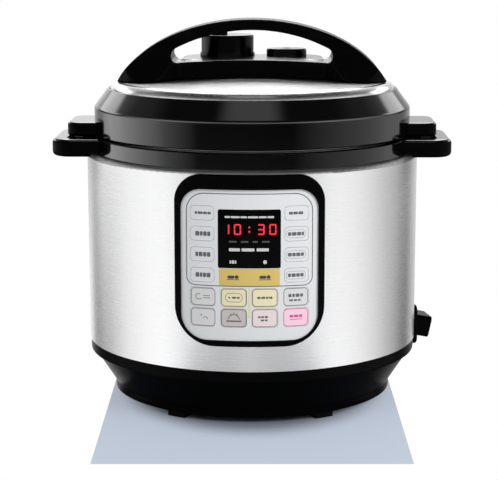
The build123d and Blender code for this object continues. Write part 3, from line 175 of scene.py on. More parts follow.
def reach_from_axis(owner, place, depth_scale=1.0):
    """The distance from the upright axis, with the depth scaled."""
    flat_place = add_node(owner, "ShaderNodeVectorMath", operation="MULTIPLY")
    flat_place.inputs[1].default_value = (1.0, depth_scale, 0.0)
    link(owner, place, flat_place.inputs[0])
    reach = add_node(owner, "ShaderNodeVectorMath", operation="LENGTH")
    link(owner, flat_place.outputs["Vector"], reach.inputs[0])
    return reach.outputs["Value"]


# Materials

materials = {}


def new_material(name):
    """A node material, kept under its name, and its shader."""
    material = bpy.data.materials.new(name)
    material.use_nodes = True
    materials[name] = material
    return material, material.node_tree.nodes["Principled BSDF"]


def scaled(colour, factor):
    """A colour made darker or lighter, up to white."""
    return tuple(min(1.0, channel * factor) for channel in colour)


def bump(material, shader, grain, strength, depth):
    """A fine relief on the shader's normal."""
    node = add_node(material, "ShaderNodeBump")
    node.inputs["Strength"].default_value = strength
    node.inputs["Distance"].default_value = depth
    link(material, grain, node.inputs["Height"])
    link(material, node.outputs["Normal"], shader.inputs["Normal"])


def moulded(
    name, colour, roughness, relief=0.04, specular=0.5, colour_play=0.15,
    grain=900.0, drift=18.0, gloss_play=0.15, depth=0.1 * MM,
):
    """Moulded plastic or rubber: a fine grain in its gloss and relief, and a slow drift in its tone."""
    material, shader = new_material(name)
    place = object_place(material)
    fine = noise(material, place, grain)
    slow = noise(material, place, drift)
    tone = tint(material, slow, scaled(colour, 1 - colour_play), scaled(colour, 1 + colour_play))
    link(material, tone, shader.inputs["Base Color"])
    link(material, uneven(material, fine, roughness, gloss_play), shader.inputs["Roughness"])
    shader.inputs["Specular IOR Level"].default_value = specular
    bump(material, shader, fine, relief, depth)
    return material


def metal(name, colour, roughness, grain=500.0, tone_play=0.1, gloss_play=0.2, relief=0.03, depth=0.05 * MM):
    """Plain metal with a faint cloudiness in its tone and gloss."""
    material, shader = new_material(name)
    cloud = noise(material, object_place(material), grain)
    tone = tint(material, cloud, scaled(colour, 1 - tone_play), colour)
    link(material, tone, shader.inputs["Base Color"])
    link(material, uneven(material, cloud, roughness, gloss_play), shader.inputs["Roughness"])
    shader.inputs["Metallic"].default_value = 1.0
    bump(material, shader, cloud, relief, depth)


# The noise of brushed lines, to a radian round the axis and to a metre across the lines
LINES_ROUND, LINES_ACROSS, LINE_DETAIL = 5.0, 2600.0, 4.0
# Highlights are drawn out across the lines, a quarter turn from the tangent
LINE_ANISOTROPY, QUARTER_TURN = 0.9, 0.25


def brushed(
    name, colour, roughness, rim=None, tone_play=0.05, gloss_play=0.12, relief=0.014, depth=0.05 * MM
):
    """Steel brushed round the axis: long lines on a drum, or rings on a dome with a polished rim.

    The rim gives the reach where it starts, the reach where it is fully polished, and its roughness.
    """
    material, shader = new_material(name)
    place = object_place(material)
    parts = split(material, place)
    across = reach_from_axis(material, place) if rim else parts["Z"]
    turn = turn_from_front(material, parts)
    lines = add_node(material, "ShaderNodeCombineXYZ")
    link(material, calculated(material, "MULTIPLY", turn, LINES_ROUND), lines.inputs["X"])
    link(material, calculated(material, "MULTIPLY", across, LINES_ACROSS), lines.inputs["Y"])
    scratches = noise(material, lines.outputs["Vector"], 1.0, LINE_DETAIL)
    tone = tint(material, scratches, scaled(colour, 1 - tone_play), colour)
    link(material, tone, shader.inputs["Base Color"])
    gloss = uneven(material, scratches, roughness, gloss_play)
    if rim:
        rim_start, rim_end, rim_roughness = rim
        gloss = blended(material, mapped(material, across, rim_start, rim_end), gloss, rim_roughness)
    link(material, gloss, shader.inputs["Roughness"])
    shader.inputs["Metallic"].default_value = 1.0
    shader.inputs["Anisotropic"].default_value = LINE_ANISOTROPY
    shader.inputs["Anisotropic Rotation"].default_value = QUARTER_TURN
    tangent = add_node(material, "ShaderNodeTangent", direction_type="RADIAL", axis="Z")
    link(material, tangent.outputs["Tangent"], shader.inputs["Tangent"])
    bump(material, shader, scratches, relief, depth)


def clear_plastic(name, colour, roughness, grain=300.0, tone_play=0.03, transmission=0.9, refraction=1.45):
    """Clear moulded plastic, with a gloss that varies between two values of its roughness."""
    material, shader = new_material(name)
    cloud = noise(material, object_place(material), grain)
    tone = tint(material, cloud, scaled(colour, 1 - tone_play), colour)
    link(material, tone, shader.inputs["Base Color"])
    link(material, mapped(material, cloud, NOISE_LOW, NOISE_HIGH, *roughness), shader.inputs["Roughness"])
    shader.inputs["Transmission Weight"].default_value = transmission
    shader.inputs["IOR"].default_value = refraction


def glowing(name, colour, strength, grain=700.0, tone_play=0.25):
    """A lit mark of the display, a little uneven along its length."""
    material, shader = new_material(name)
    cloud = noise(material, object_place(material), grain)
    tone = tint(material, cloud, scaled(colour, 1 - tone_play), colour)
    link(material, tone, shader.inputs["Base Color"])
    link(material, tone, shader.inputs["Emission Color"])
    shader.inputs["Emission Strength"].default_value = strength


# Steel and other metals
DOME_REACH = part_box("lid_top_plate")[1].x
RIM_WIDTH, POLISHED_WIDTH = 10.0 * MM, 7.0 * MM
RIM_ROUGHNESS = 0.22
dome_rim = (DOME_REACH - RIM_WIDTH, DOME_REACH - POLISHED_WIDTH, RIM_ROUGHNESS)
brushed("shell_steel", (0.93, 0.93, 0.94), 0.29)
brushed("dome_steel", (0.90, 0.90, 0.91), 0.52, rim=dome_rim)
brushed("pot_steel", (0.72, 0.72, 0.73), 0.25)
metal("polished_steel", (0.72, 0.72, 0.73), 0.1)
# Darker, rougher steel for the shell's rolled edge: painted shade that dims the highlight there
metal("dull_shaded_steel", (0.6, 0.6, 0.61), 0.5)
metal("plate_aluminium", (0.78, 0.78, 0.79), 0.4)
metal("element_steel", (0.2, 0.19, 0.18), 0.55)
metal("fastener_steel", (0.62, 0.62, 0.63), 0.3)
metal("pin_brass", (0.80, 0.72, 0.52), 0.3)

# Plastic and rubber
BLACK = (0.001, 0.001, 0.0011)
moulded("black_gloss", BLACK, 0.09, relief=0.01, specular=1.0)
moulded("black_handle", BLACK, 0.2, relief=0.02, specular=0.15)
moulded("black_base", BLACK, 0.3, relief=0.02, specular=0.03)
moulded("black_matte", (0.012, 0.012, 0.013), 0.55, relief=0.12)
moulded("foot_rubber", (0.002, 0.002, 0.0022), 0.8, relief=0.15, specular=0.1)
moulded("silicone", (0.75, 0.76, 0.75), 0.5)
moulded("board_green", (0.03, 0.16, 0.07), 0.45, colour_play=0.25)
moulded("part_dark", (0.03, 0.03, 0.035), 0.5)
moulded("display_glass", BLACK, 0.12, relief=0.0, specular=0.05)
clear_plastic("clear_plastic", (0.93, 0.95, 0.96), (0.05, 0.12))

# The panel's sheet and its keys, with how far each colour varies
PANEL_ROUGHNESS, PANEL_RELIEF = 0.42, 0.03
panel_colours = {
    "panel_silver": ((0.66, 0.68, 0.69), 0.03),
    "key_silver": ((0.63, 0.63, 0.635), 0.03),
    "key_yellow": ((0.74, 0.68, 0.45), 0.05),
    "key_pink": ((0.84, 0.56, 0.67), 0.05),
    "key_blush": ((0.73, 0.63, 0.63), 0.03),
    "key_gray": ((0.52, 0.475, 0.47), 0.03),
}
for name, (colour, colour_play) in panel_colours.items():
    moulded(name, colour, PANEL_ROUGHNESS, PANEL_RELIEF, colour_play=colour_play)

# Prints and lit marks
moulded("print_dark", (0.045, 0.045, 0.05), 0.5, colour_play=0.3)
moulded("print_gray", (0.11, 0.11, 0.12), 0.5, colour_play=0.2)
moulded("print_light", (0.36, 0.36, 0.38), 0.5, colour_play=0.1)
moulded("print_gold", (0.62, 0.46, 0.13), 0.4, colour_play=0.08)
moulded("print_yellow", (0.66, 0.62, 0.38), 0.42, colour_play=0.06)
moulded("print_magenta", (0.52, 0.07, 0.24), 0.45, colour_play=0.1)
glowing("display_red", (0.80, 0.015, 0.035), 0.75)
glowing("display_white", (0.50, 0.50, 0.50), 0.25)
glowing("display_gray", (0.05, 0.06, 0.05), 0.2)

# Nodes that look unlike the rest of their record slot
own_looks = {
    "lid_top_plate": "dome_steel",
    "pressure_lid": "polished_steel",
    "base_housing": "black_base",
    "panel_bezel": "black_base",
    "inlet_housing": "black_base",
    "steam_valve_knob": "black_handle",
    "float_cover": "black_handle",
    "key_lower_2": "key_gray",
    "key_lower_3": "key_blush",
}
own_looks |= {f"key_{side}_{row}": "panel_silver" for side in ("left", "right") for row in range(1, 5)}
for subpart in record["subparts"]:
    node = nodes[subpart["node"]]
    look = own_looks.get(subpart["node"], subpart["material_slot"])
    node.data.materials.clear()
    node.data.materials.append(materials[look])


# Rounded mouldings

def softened(node_name, name, body, look, voxel, passes, factor=0.5):
    """A moulding with worn-in edges, remade from a solid's own shape, which it stands for."""
    shape = added(name + "_form", nodes[node_name].data.copy())
    remesh = shape.modifiers.new("cells", "REMESH")
    remesh.mode = "VOXEL"
    remesh.voxel_size = voxel
    smooth = shape.modifiers.new("edges", "SMOOTH")
    smooth.factor = factor
    smooth.iterations = passes
    graph = bpy.context.evaluated_depsgraph_get()
    mesh = bpy.data.meshes.new_from_object(shape.evaluated_get(graph))
    bpy.data.objects.remove(shape)
    mesh.name = name
    mesh.polygons.foreach_set("use_smooth", [True] * len(mesh.polygons))
    mesh.materials.clear()
    mesh.materials.append(materials[look])
    piece = added(name, mesh)
    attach(piece, body)
    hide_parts(node_name)
    return piece


handle = softened("lid_handle", "lid_handle_moulding", "lid", "black_base", voxel=1.0 * MM, passes=8)


# Faces with a second look

# The upward part of a face's normal, on a top and on an edge that slants a little
TOP_SLOPE = 0.5
EDGE_SLOPE = 0.05
DECK_HALF_LENGTH = 75.0 * MM
ARCH_CLEARANCE = 6.0 * MM
arch_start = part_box("steam_valve_knob")[0].z + ARCH_CLEARANCE
# The lid's ring and the collar reach as far back as they do sideways without their fins and handles
FIN_CLEARANCE = 1.0 * MM
fin_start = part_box("lid_cover")[1].y + FIN_CLEARANCE
handle_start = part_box("top_collar")[1].y + FIN_CLEARANCE


def second_look(piece, look, chosen):
    """Another look for the faces that a test picks, from a face and its farthest reach from the axis."""
    mesh = piece.data
    mesh.materials.append(materials[look])
    for face in mesh.polygons:
        corners = [mesh.vertices[index].co for index in face.vertices]
        reach = max(hypot(corner.x, corner.y) for corner in corners)
        if chosen(face, reach):
            face.material_index = 1


def on_deck(face, reach):
    """On top of the lid handle's deck, between the ends of its arch."""
    return face.normal.z > TOP_SLOPE and face.center.z < arch_start and reach < DECK_HALF_LENGTH


def fin_side_or_lower_edge(face, reach):
    """On the side of a lid fin, or on the edge that the lid closes with."""
    return face.normal.z < (TOP_SLOPE if reach > fin_start else -EDGE_SLOPE)


def handle_side_or_upper_edge(face, reach):
    """On the side of a side handle, or on the edge that the lid closes on."""
    return face.normal.z < TOP_SLOPE if reach > handle_start else face.normal.z > EDGE_SLOPE


def rolled_edge_with_painted_shade(face, reach):
    """On the rolled upper edge of the shell, whose upward faces take darker steel: painted shade that dims
    their highlight.
    """
    return face.normal.z > EDGE_SLOPE


second_look(handle, "black_handle", on_deck)
second_look(nodes["lid_cover"], "black_base", fin_side_or_lower_edge)
second_look(nodes["top_collar"], "black_base", handle_side_or_upper_edge)
# The rolled edge's upward faces: painted shade in darker, rougher steel
second_look(nodes["outer_shell"], "dull_shaded_steel", rolled_edge_with_painted_shade)


# Springs, copied onto the bodies that their joints hang from

def squashed_spring(joint, spring):
    """A copy of a spring, attached to its joint's parent body in place of the spring's node."""
    node_name = spring["node"]
    piece = added(node_name + "_coil", nodes[node_name].data.copy())
    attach(piece, joint["parent"])
    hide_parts(node_name)
    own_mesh(piece)


for joint in record["behaviour"]["joints"]:
    for spring in joint.get("deforming_nodes", []):
        squashed_spring(joint, spring)


# Prints on the curved panel, drawn in millimetres in the front view

PANEL_FACE = -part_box("panel_overlay")[0].y / MM
# How far a print goes into the panel, and how far the lower, middle and upper prints stand on it
PRINT_DEPTH = 0.02
LOWER_PRINT, MIDDLE_PRINT, UPPER_PRINT = 0.04, 0.06, 0.08
# Widths of lines
FINE, THIN, MEDIUM, BOLD, HEAVY = 0.35, 0.45, 0.5, 0.6, 0.7
# Steps in a round corner, its largest share of a side, and the longest steps of a filled shape and of a line
CORNER_STEPS = 6
LARGEST_CORNER = 0.49
FILL_STEP = 1.5
LINE_STEP = 2.0
# Corners of a block of small print, as a share of its height
BLOCK_CORNER = 0.25
# Hidden edge round a key's face
KEY_FLANGE = 0.8

Face = namedtuple("Face", "x_low x_high z_low z_high")


def front(node_name, inset=0.0):
    """A node's outline box in the front view, less an inset all round."""
    low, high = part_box(node_name)
    return Face(low.x / MM + inset, high.x / MM - inset, low.z / MM + inset, high.z / MM - inset)


def centre(face):
    return (face.x_low + face.x_high) / 2, (face.z_low + face.z_high) / 2


def wrap(point, radius):
    """A point of the front view, on a cylinder about the cooker's axis, in metres."""
    x, z = point
    return Vector((x, -sqrt(radius**2 - x**2), z)) * MM


def rounded(x_low, x_high, z_low, z_high, corner):
    """A filled rectangle with round corners: upright rungs from left to right, which don't close a ring."""
    corner = min(corner, LARGEST_CORNER * (z_high - z_low), LARGEST_CORNER * (x_high - x_low))
    bend = [corner * (1 - cos(pi / 2 * step / CORNER_STEPS)) for step in range(CORNER_STEPS + 1)]
    inner_low, inner_high = x_low + corner, x_high - corner
    steps = max(1, round((inner_high - inner_low) / FILL_STEP))
    xs = [x_low + inset for inset in bend]
    xs += [inner_low + (inner_high - inner_low) * step / steps for step in range(1, steps)]
    xs += [x_high - inset for inset in reversed(bend)]
    rungs = []
    for x in xs:
        inward = max(0.0, corner - min(x - x_low, x_high - x))
        cut = corner - sqrt(max(0.0, corner**2 - inward**2))
        rungs.append(((x, z_low + cut), (x, z_high - cut)))
    return rungs, False


def disc(x, z, radius):
    return rounded(x - radius, x + radius, z - radius, z + radius, radius)


def label(x, z, widths, height, gap=0.6):
    """A row of plain blocks that stands for a line of small print, centred on a point."""
    left = x - (sum(widths) + gap * (len(widths) - 1)) / 2
    blocks = []
    for width in widths:
        blocks.append(rounded(left, left + width, z - height / 2, z + height / 2, BLOCK_CORNER * height))
        left += width + gap
    return blocks


def line_through(points, width, closed=False):
    """A line of even width through points: rungs across it, and whether they close a ring."""
    rungs = []
    count = len(points)
    for index, (x, z) in enumerate(points):
        before = points[index - 1] if index or closed else points[index]
        after = points[(index + 1) % count] if index < count - 1 or closed else points[index]
        run_x, run_z = after[0] - before[0], after[1] - before[1]
        length = hypot(run_x, run_z)
        side_x, side_z = -run_z / length * width / 2, run_x / length * width / 2
        rungs.append(((x - side_x, z - side_z), (x + side_x, z + side_z)))
    return rungs, closed


def divided(points):
    """The same path with its long runs divided, so that it bends round the panel."""
    path = [points[0]]
    for (x0, z0), (x1, z1) in zip(points, points[1:]):
        steps = max(1, round(hypot(x1 - x0, z1 - z0) / LINE_STEP))
        shares = [step / steps for step in range(1, steps + 1)]
        path += [(x0 + (x1 - x0) * share, z0 + (z1 - z0) * share) for share in shares]
    return path


def stroke(points, width):
    """A line of even width along straight runs."""
    return line_through(divided(points), width)


def arc(x, z, radius, start, end, width, steps=10):
    """A line of even width along an arc, with its angles in degrees from the right."""
    angles = [radians(start + (end - start) * step / steps) for step in range(steps + 1)]
    return line_through([(x + radius * cos(angle), z + radius * sin(angle)) for angle in angles], width)


def outlined(x_low, x_high, z_low, z_high, low_corner, high_corner, width):
    """The outline of a rectangle with round corners, from the lower right corner, counter-clockwise."""
    corners = [
        (x_high - low_corner, z_low + low_corner, low_corner, -90),
        (x_high - high_corner, z_high - high_corner, high_corner, 0),
        (x_low + high_corner, z_high - high_corner, high_corner, 90),
        (x_low + low_corner, z_low + low_corner, low_corner, 180),
    ]
    points = []
    for x, z, radius, start in corners:
        angles = [radians(start + 90 * step / CORNER_STEPS) for step in range(CORNER_STEPS + 1)]
        points += [(x + radius * cos(angle), z + radius * sin(angle)) for angle in angles]
    return line_through(divided(points + points[:1])[:-1], width, closed=True)


def moved(shapes, x, z):
    """Shapes drawn about the origin, set about another point."""
    return [
        ([((x + x0, z + z0), (x + x1, z + z1)) for (x0, z0), (x1, z1) in rungs], closed)
        for rungs, closed in shapes
    ]


def printed(name, shapes, look, body, height=MIDDLE_PRINT):
    """One thin solid for each shape, all on the panel's face, in one piece."""
    outer, inner = PANEL_FACE + height, PANEL_FACE - PRINT_DEPTH
    form = bmesh.new()
    for rungs, closed in shapes:
        sections = []
        for low, high in rungs:
            places = ((low, outer), (high, outer), (high, inner), (low, inner))
            sections.append([form.verts.new(wrap(point, radius)) for point, radius in places])
        pairs = list(zip(sections, sections[1:]))
        if closed:
            pairs.append((sections[-1], sections[0]))
        else:
            form.faces.new(sections[0])
            form.faces.new(reversed(sections[-1]))
        for here, there in pairs:
            for side, after in ((0, 1), (1, 2), (2, 3), (3, 0)):
                form.faces.new((here[side], there[side], there[after], here[after]))
    bmesh.ops.recalc_face_normals(form, faces=form.faces)
    mesh = bpy.data.meshes.new(name)
    form.to_mesh(mesh)
    form.free()
    mesh.materials.append(materials[look])
    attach(added(name, mesh), body)


# Frame line round the display and the side keys
FRAME_HALF_WIDTH = 49.0
FRAME_FOOT_GAP, FRAME_HEAD_GAP = 1.0, 3.2
FRAME_LOW_CORNER, FRAME_HIGH_CORNER = 6.5, 13.7
display = front("display_window")
zone_low = front("key_upper_1").z_high + FRAME_FOOT_GAP
zone_high = front("panel_overlay").z_high - FRAME_HEAD_GAP
frame_zone = Face(-FRAME_HALF_WIDTH, FRAME_HALF_WIDTH, zone_low, zone_high)
frame_line = outlined(*frame_zone, FRAME_LOW_CORNER, FRAME_HIGH_CORNER, HEAVY)
printed("panel_frame_line", [frame_line], "print_gray", "cooker_base")

# Gold band under the display, with a dark mark on each half, drawn about the mark's place
BAND_HALF_WIDTH = 23.7
BAND_FOOT_GAP, BAND_HEAD_GAP = 0.4, 0.3
BAND_CORNER = 0.4
BAND_MARK_PLACE = 12.4
band_zone = Face(-BAND_HALF_WIDTH, BAND_HALF_WIDTH, zone_low + BAND_FOOT_GAP, display.z_low - BAND_HEAD_GAP)
printed("panel_gold_band", [rounded(*band_zone, BAND_CORNER)], "print_gold", "cooker_base", LOWER_PRINT)
band_mark = [
    rounded(-4.6, 1.0, -1.1, 1.3, 1.2),
    disc(2.6, 0.2, 1.5),
    stroke([(-5.2, -1.9), (4.8, -1.9)], MEDIUM),
]
band_z = (zone_low + display.z_low) / 2
band_marks = [shape for side in (-1, 1) for shape in moved(band_mark, side * BAND_MARK_PLACE, band_z)]
printed("panel_band_marks", band_marks, "print_dark", "cooker_base", UPPER_PRINT)

# Yellow field between the keys below the band
FIELD_GAP = 0.3
FIELD_CORNER = 0.3
left_key, right_key, lower_key = front("key_upper_2"), front("key_upper_3"), front("key_lower_2")
field_foot = (lower_key.z_low + lower_key.z_high) / 2
row_gap = (lower_key.z_high + FIELD_GAP, left_key.z_low - FIELD_GAP)
field_zones = [
    (left_key.x_high + FIELD_GAP, right_key.x_low - FIELD_GAP, field_foot, left_key.z_high),
    (left_key.x_low, left_key.x_high, *row_gap),
    (right_key.x_low, right_key.x_high, *row_gap),
]
field = [rounded(*zone, FIELD_CORNER) for zone in field_zones]
printed("panel_yellow_field", field, "print_yellow", "cooker_base", LOWER_PRINT)

# Lit time on the display
DIGIT_HEIGHT = 8.5
DIGIT_WIDTH = 5.6
DIGIT_PITCH = 9.1
DIGITS_SHARE = 0.664
SEGMENT = 1.1
SEGMENT_GAP = 0.15
SEGMENT_CORNER = 0.35 * SEGMENT
COLON_RISE, COLON_RADIUS = 1.7, 0.75
LIT_SEGMENTS = {"0": "abcdef", "1": "bc", "3": "abgcd"}
digits_z = display.z_low + DIGITS_SHARE * (display.z_high - display.z_low)


def digit(character, x):
    """The lit segments of a digit."""
    left, right = x - DIGIT_WIDTH / 2, x + DIGIT_WIDTH / 2
    low, high = digits_z - DIGIT_HEIGHT / 2, digits_z + DIGIT_HEIGHT / 2
    half = SEGMENT / 2
    zones = {
        "a": (left + half, right - half, high - SEGMENT, high),
        "g": (left + half, right - half, digits_z - half, digits_z + half),
        "d": (left + half, right - half, low, low + SEGMENT),
        "f": (left, left + SEGMENT, digits_z + SEGMENT_GAP, high - half),
        "b": (right - SEGMENT, right, digits_z + SEGMENT_GAP, high - half),
        "e": (left, left + SEGMENT, low + half, digits_z - SEGMENT_GAP),
        "c": (right - SEGMENT, right, low + half, digits_z - SEGMENT_GAP),
    }
    return [rounded(*zones[segment], SEGMENT_CORNER) for segment in LIT_SEGMENTS[character]]


lit = []
for place, character in zip((-2, -1, 1, 2), "1030"):
    lit += digit(character, place * DIGIT_PITCH)
lit += [disc(0, digits_z + side * COLON_RISE, COLON_RADIUS) for side in (-1, 1)]
printed("display_digits", lit, "display_red", "cooker_base")

# Small print over the lit time, and the bars, marks and faint print below it
SMALL_PRINT_DROP = 5.8
FAINT_PRINT_RISE, BAR_RISE, LOW_MARK_RISE = 20.9, 14.6, 4.9
BAR_HALF_HEIGHT, BAR_CORNER = 1.2, 0.5
BAR_MIDDLES_AND_WIDTHS = ((-11.5, 8.5), (-1.0, 10.0), (10.4, 9.4))
small_print = label(0, display.z_high - SMALL_PRINT_DROP, (4, 7, 5, 8, 6, 5), height=1.5)
bar_low, bar_high = (display.z_low + BAR_RISE + side * BAR_HALF_HEIGHT for side in (-1, 1))
bars = [
    rounded(middle - width / 2, middle + width / 2, bar_low, bar_high, BAR_CORNER)
    for middle, width in BAR_MIDDLES_AND_WIDTHS
]
low_marks = [disc(12.2, 0, radius=1.5)] + label(-12.7, 0, (1.2, 2.0, 1.2), height=2.6, gap=0.4)
white_marks = small_print + bars + moved(low_marks, 0, display.z_low + LOW_MARK_RISE)
printed("display_small_print", white_marks, "display_white", "cooker_base")
faint_print = label(0, display.z_low + FAINT_PRINT_RISE, (6, 6, 4, 6), height=1.3, gap=3.2)
printed("display_faint_marks", faint_print, "display_gray", "cooker_base")

# Side keys, from the top one down: the height of each row of small print, and the widths of its blocks
SIDE_PRINT_GAP = 0.4
PILL = Face(-7.6, 7.6, -3.1, 3.1)
PILL_CORNER = 2.9
side_print = {
    "left": [
        (2.0, (2.0, 3.8, 3.0, 2.6)),
        (3.6, (3.2, 2.2, 2.8, 2.4)),
        (3.6, (2.2, 3.0, 2.6, 2.8)),
        (3.6, (3.0, 2.0, 2.6, 3.0)),
    ],
    "right": [
        (2.2, (3.0, 3.4, 3.8)),
        (2.8, (2.6, 3.6, 3.2, 1.8)),
        (2.8, (3.0, 2.6, 3.2, 2.4)),
        (2.8, (2.4, 3.2, 2.8, 2.6)),
    ],
}
pill = outlined(*PILL, PILL_CORNER, PILL_CORNER, FINE)
for side, rows in side_print.items():
    for row, (height, widths) in enumerate(rows, 1):
        name = f"key_{side}_{row}"
        x, z = centre(front(name))
        printed(name + "_print", label(x, z, widths, height, SIDE_PRINT_GAP), "print_gray", name)
        if side == "right" and row > 1:
            printed(name + "_pill", moved([pill], x, z), "print_light", name)

# Framed keys below the display: plain pictograms and small print, drawn about each key's centre
KEY_FRAME_INSET = 0.5
KEY_FRAME_CORNER = 2.8
key_marks = {
    "key_upper_1": [
        arc(-3.6, 0, 2.2, 60, 330, MEDIUM),
        stroke([(0, -0.9), (5.4, -0.9)], MEDIUM),
        stroke([(0, 0.9), (5.4, 0.9)], MEDIUM),
    ],
    "key_upper_2": [
        outlined(-6.6, 6.6, -3.4, 3.4, 3.2, 3.2, FINE),
        disc(-3.6, 0, 0.7),
        *label(1.6, 0, (3.0, 2.4), height=1.5),
    ],
    "key_upper_3": label(0, 0, (2.6, 3.0, 2.0, 2.4), height=1.7),
    "key_upper_4": [
        *label(0, 1.2, (2.4, 2.0, 3.0, 2.2), height=2.6),
        *label(-0.6, -2.6, (3.0, 2.6, 2.2), height=1.5),
    ],
    "key_lower_1": [
        disc(-1.6, 1.6, 0.55),
        arc(1.6, -1.8, 2.0, 10, 150, THIN),
    ],
    "key_lower_2": [
        arc(0, -1.6, 4.4, 8, 172, BOLD, steps=14),
        rounded(-6.0, 6.0, -3.0, -1.9, 0.5),
        disc(-2.4, 3.0, 0.5),
        disc(0, 3.9, 0.5),
        disc(2.4, 3.0, 0.5),
    ],
    "key_lower_3": [
        *label(-1.4, 0.9, (1.8, 2.2, 2.4), height=1.6),
        *label(-0.4, -1.7, (2.6, 2.2), height=1.4),
    ],
    "key_lower_4": [
        *label(0.2, 1.0, (2.8, 3.2, 2.6), height=2.0),
        stroke([(-4.6, -1.6), (5.0, -1.6)], MEDIUM),
    ],
}
for name, marks in key_marks.items():
    key_frame = outlined(*front(name, KEY_FLANGE + KEY_FRAME_INSET), KEY_FRAME_CORNER, KEY_FRAME_CORNER, THIN)
    look = "print_magenta" if name == "key_lower_4" else "print_gray"
    printed(name + "_print", [key_frame] + moved(marks, *centre(front(name))), look, name)


# Camera, fitted to the photograph's frame of 498 by 480 pixels

IMAGE_WIDTH = 498
FOCAL_PIXELS = 1657.0
CENTRE_SHIFT_PIXELS = 3.2
SENSOR_WIDTH = 36.0
# Its place in metres, and its turn in radians
CAMERA_DISTANCE = 1.400
CAMERA_HEIGHT = 0.385
CAMERA_PITCH = 0.1816
CAMERA_AZIMUTH = 0.016

camera = added("camera", bpy.data.cameras.new("camera"))
camera.location = (
    CAMERA_DISTANCE * sin(CAMERA_AZIMUTH), -CAMERA_DISTANCE * cos(CAMERA_AZIMUTH), CAMERA_HEIGHT
)
camera.rotation_euler = (pi / 2 - CAMERA_PITCH, 0, CAMERA_AZIMUTH)
camera.data.sensor_width = SENSOR_WIDTH
camera.data.lens = FOCAL_PIXELS * SENSOR_WIDTH / IMAGE_WIDTH
camera.data.shift_x = -CENTRE_SHIFT_PIXELS / IMAGE_WIDTH
bpy.context.scene.camera = camera
bpy.context.scene.view_settings.view_transform = "Standard"


# Stage: a pale sheet under the cooker, on white

SHEET_HALF_WIDTH = 120 * MM
SHEET_REACH = 222 * MM
SHEET_HEIGHT = -0.2 * MM
SHEET_COLOUR = (0.19, 0.215, 0.255)
SHEET_GLOW = (0.34, 0.375, 0.44)
SHEET_ROUGHNESS = 0.9
# The sheet glows beyond an oval round the cooker, and the glow fades inwards from it to the cooker's foot: a
# painted shadow round the foot
PAINTED_SHADOW_HALF_WIDTH = 121 * MM
PAINTED_SHADOW_HALF_DEPTH = 165 * MM
FOOT_DEPTH = 115 * MM


def sheet_material():
    """Pale paper, which the camera sees lit up except round the cooker's foot: there its glow fades, a
    painted shadow over the real soft shadow.
    """
    paper = moulded("sheet_blue", SHEET_COLOUR, SHEET_ROUGHNESS, relief=0.0, specular=0.1, colour_play=0.02)
    shader = paper.node_tree.nodes["Principled BSDF"]
    depth_scale = PAINTED_SHADOW_HALF_WIDTH / PAINTED_SHADOW_HALF_DEPTH
    reach = reach_from_axis(paper, object_place(paper), depth_scale)
    # Painted shadow: the glow's share, none at the cooker's foot and full beyond the oval
    glow_past_painted_shadow = mapped(paper, reach, FOOT_DEPTH * depth_scale, PAINTED_SHADOW_HALF_WIDTH, curve="SMOOTHSTEP")
    seen = add_node(paper, "ShaderNodeLightPath").outputs["Is Camera Ray"]
    shader.inputs["Emission Color"].default_value = (*SHEET_GLOW, 1)
    link(paper, calculated(paper, "MULTIPLY", glow_past_painted_shadow, seen), shader.inputs["Emission Strength"])
    return paper


def stage_sheet():
    """The sheet, squared up with the camera."""
    form = bmesh.new()
    sides = [(-1, -1), (1, -1), (1, 1), (-1, 1)]
    corners = [(x * SHEET_HALF_WIDTH, y * SHEET_REACH, SHEET_HEIGHT) for x, y in sides]
    form.faces.new([form.verts.new(corner) for corner in corners])
    mesh = bpy.data.meshes.new("stage_sheet")
    form.to_mesh(mesh)
    form.free()
    mesh.materials.append(sheet_material())
    sheet = added("stage_sheet", mesh)
    sheet.rotation_euler.z = CAMERA_AZIMUTH


stage_sheet()


# Lamps: place, width and height in metres, and power in watts

LAMP_TARGET = Vector((0, 0, 0.15))
lamps = {
    "key_light": ((1.2, -1.1, 1.0), (0.8, 0.8), 22),
    "fill_light": ((-0.9, -1.3, 1.5), (1.0, 0.8), 6),
    "back_light": ((0.0, 1.3, 1.4), (1.6, 0.6), 10),
}


def soft_lamp(name, place, size, power):
    """A soft lamp that points at the cooker. Reflections show the studio's boxes instead of it."""
    lamp = bpy.data.lights.new(name, "AREA")
    lamp.shape = "RECTANGLE"
    lamp.size, lamp.size_y = size
    lamp.energy = power
    light = added(name, lamp)
    light.visible_glossy = False
    light.location = place
    light.rotation_euler = (LAMP_TARGET - Vector(place)).to_track_quat("-Z", "Y").to_euler()


for name, (place, size, power) in lamps.items():
    soft_lamp(name, place, size, power)


# Studio that reflections show, with its angles in degrees

# Levels round the walls, as pairs of an azimuth from the front and the level there
WALL_LEVELS = [
    (-180, 1.3), (-153, 0.9), (-145, 0.3), (-137, 0.0), (-126, 0.0), (-117, 0.1), (-107, 0.42), (-96, 0.78),
    (-77, 1.18), (-62, 1.47), (-45, 1.22), (-23, 0.86), (-15, 0.82), (-1, 0.97), (13, 0.84), (27, 0.90),
    (43, 1.22), (60, 1.44), (77, 1.28), (92, 1.0), (115, 0.42), (132, 0.02), (138, 0.0), (150, 0.45),
    (180, 0.9),
]
# The same for the narrow strip that the upright black walls reflect, and for the part above the walls
STRIP_LEVELS = [
    (-180, 0.9), (-150, 0.5), (-140, 0.55), (-124, 1.6), (-110, 1.8), (-92, 1.5), (-72, 0.95), (-63, 0.55),
    (-38, 0.02), (30, 0.0), (62, 0.28), (80, 0.40), (114, 0.65), (140, 0.4), (180, 0.9),
]
UPPER_LEVELS = [
    (-180, 1.7), (-166, 1.2), (-152, 0.5), (-134, 0.4), (-115, 0.15), (-60, 0.03), (60, 0.03),
    (115, 0.1), (134, 0.3), (152, 0.5), (166, 1.2), (180, 1.7),
]
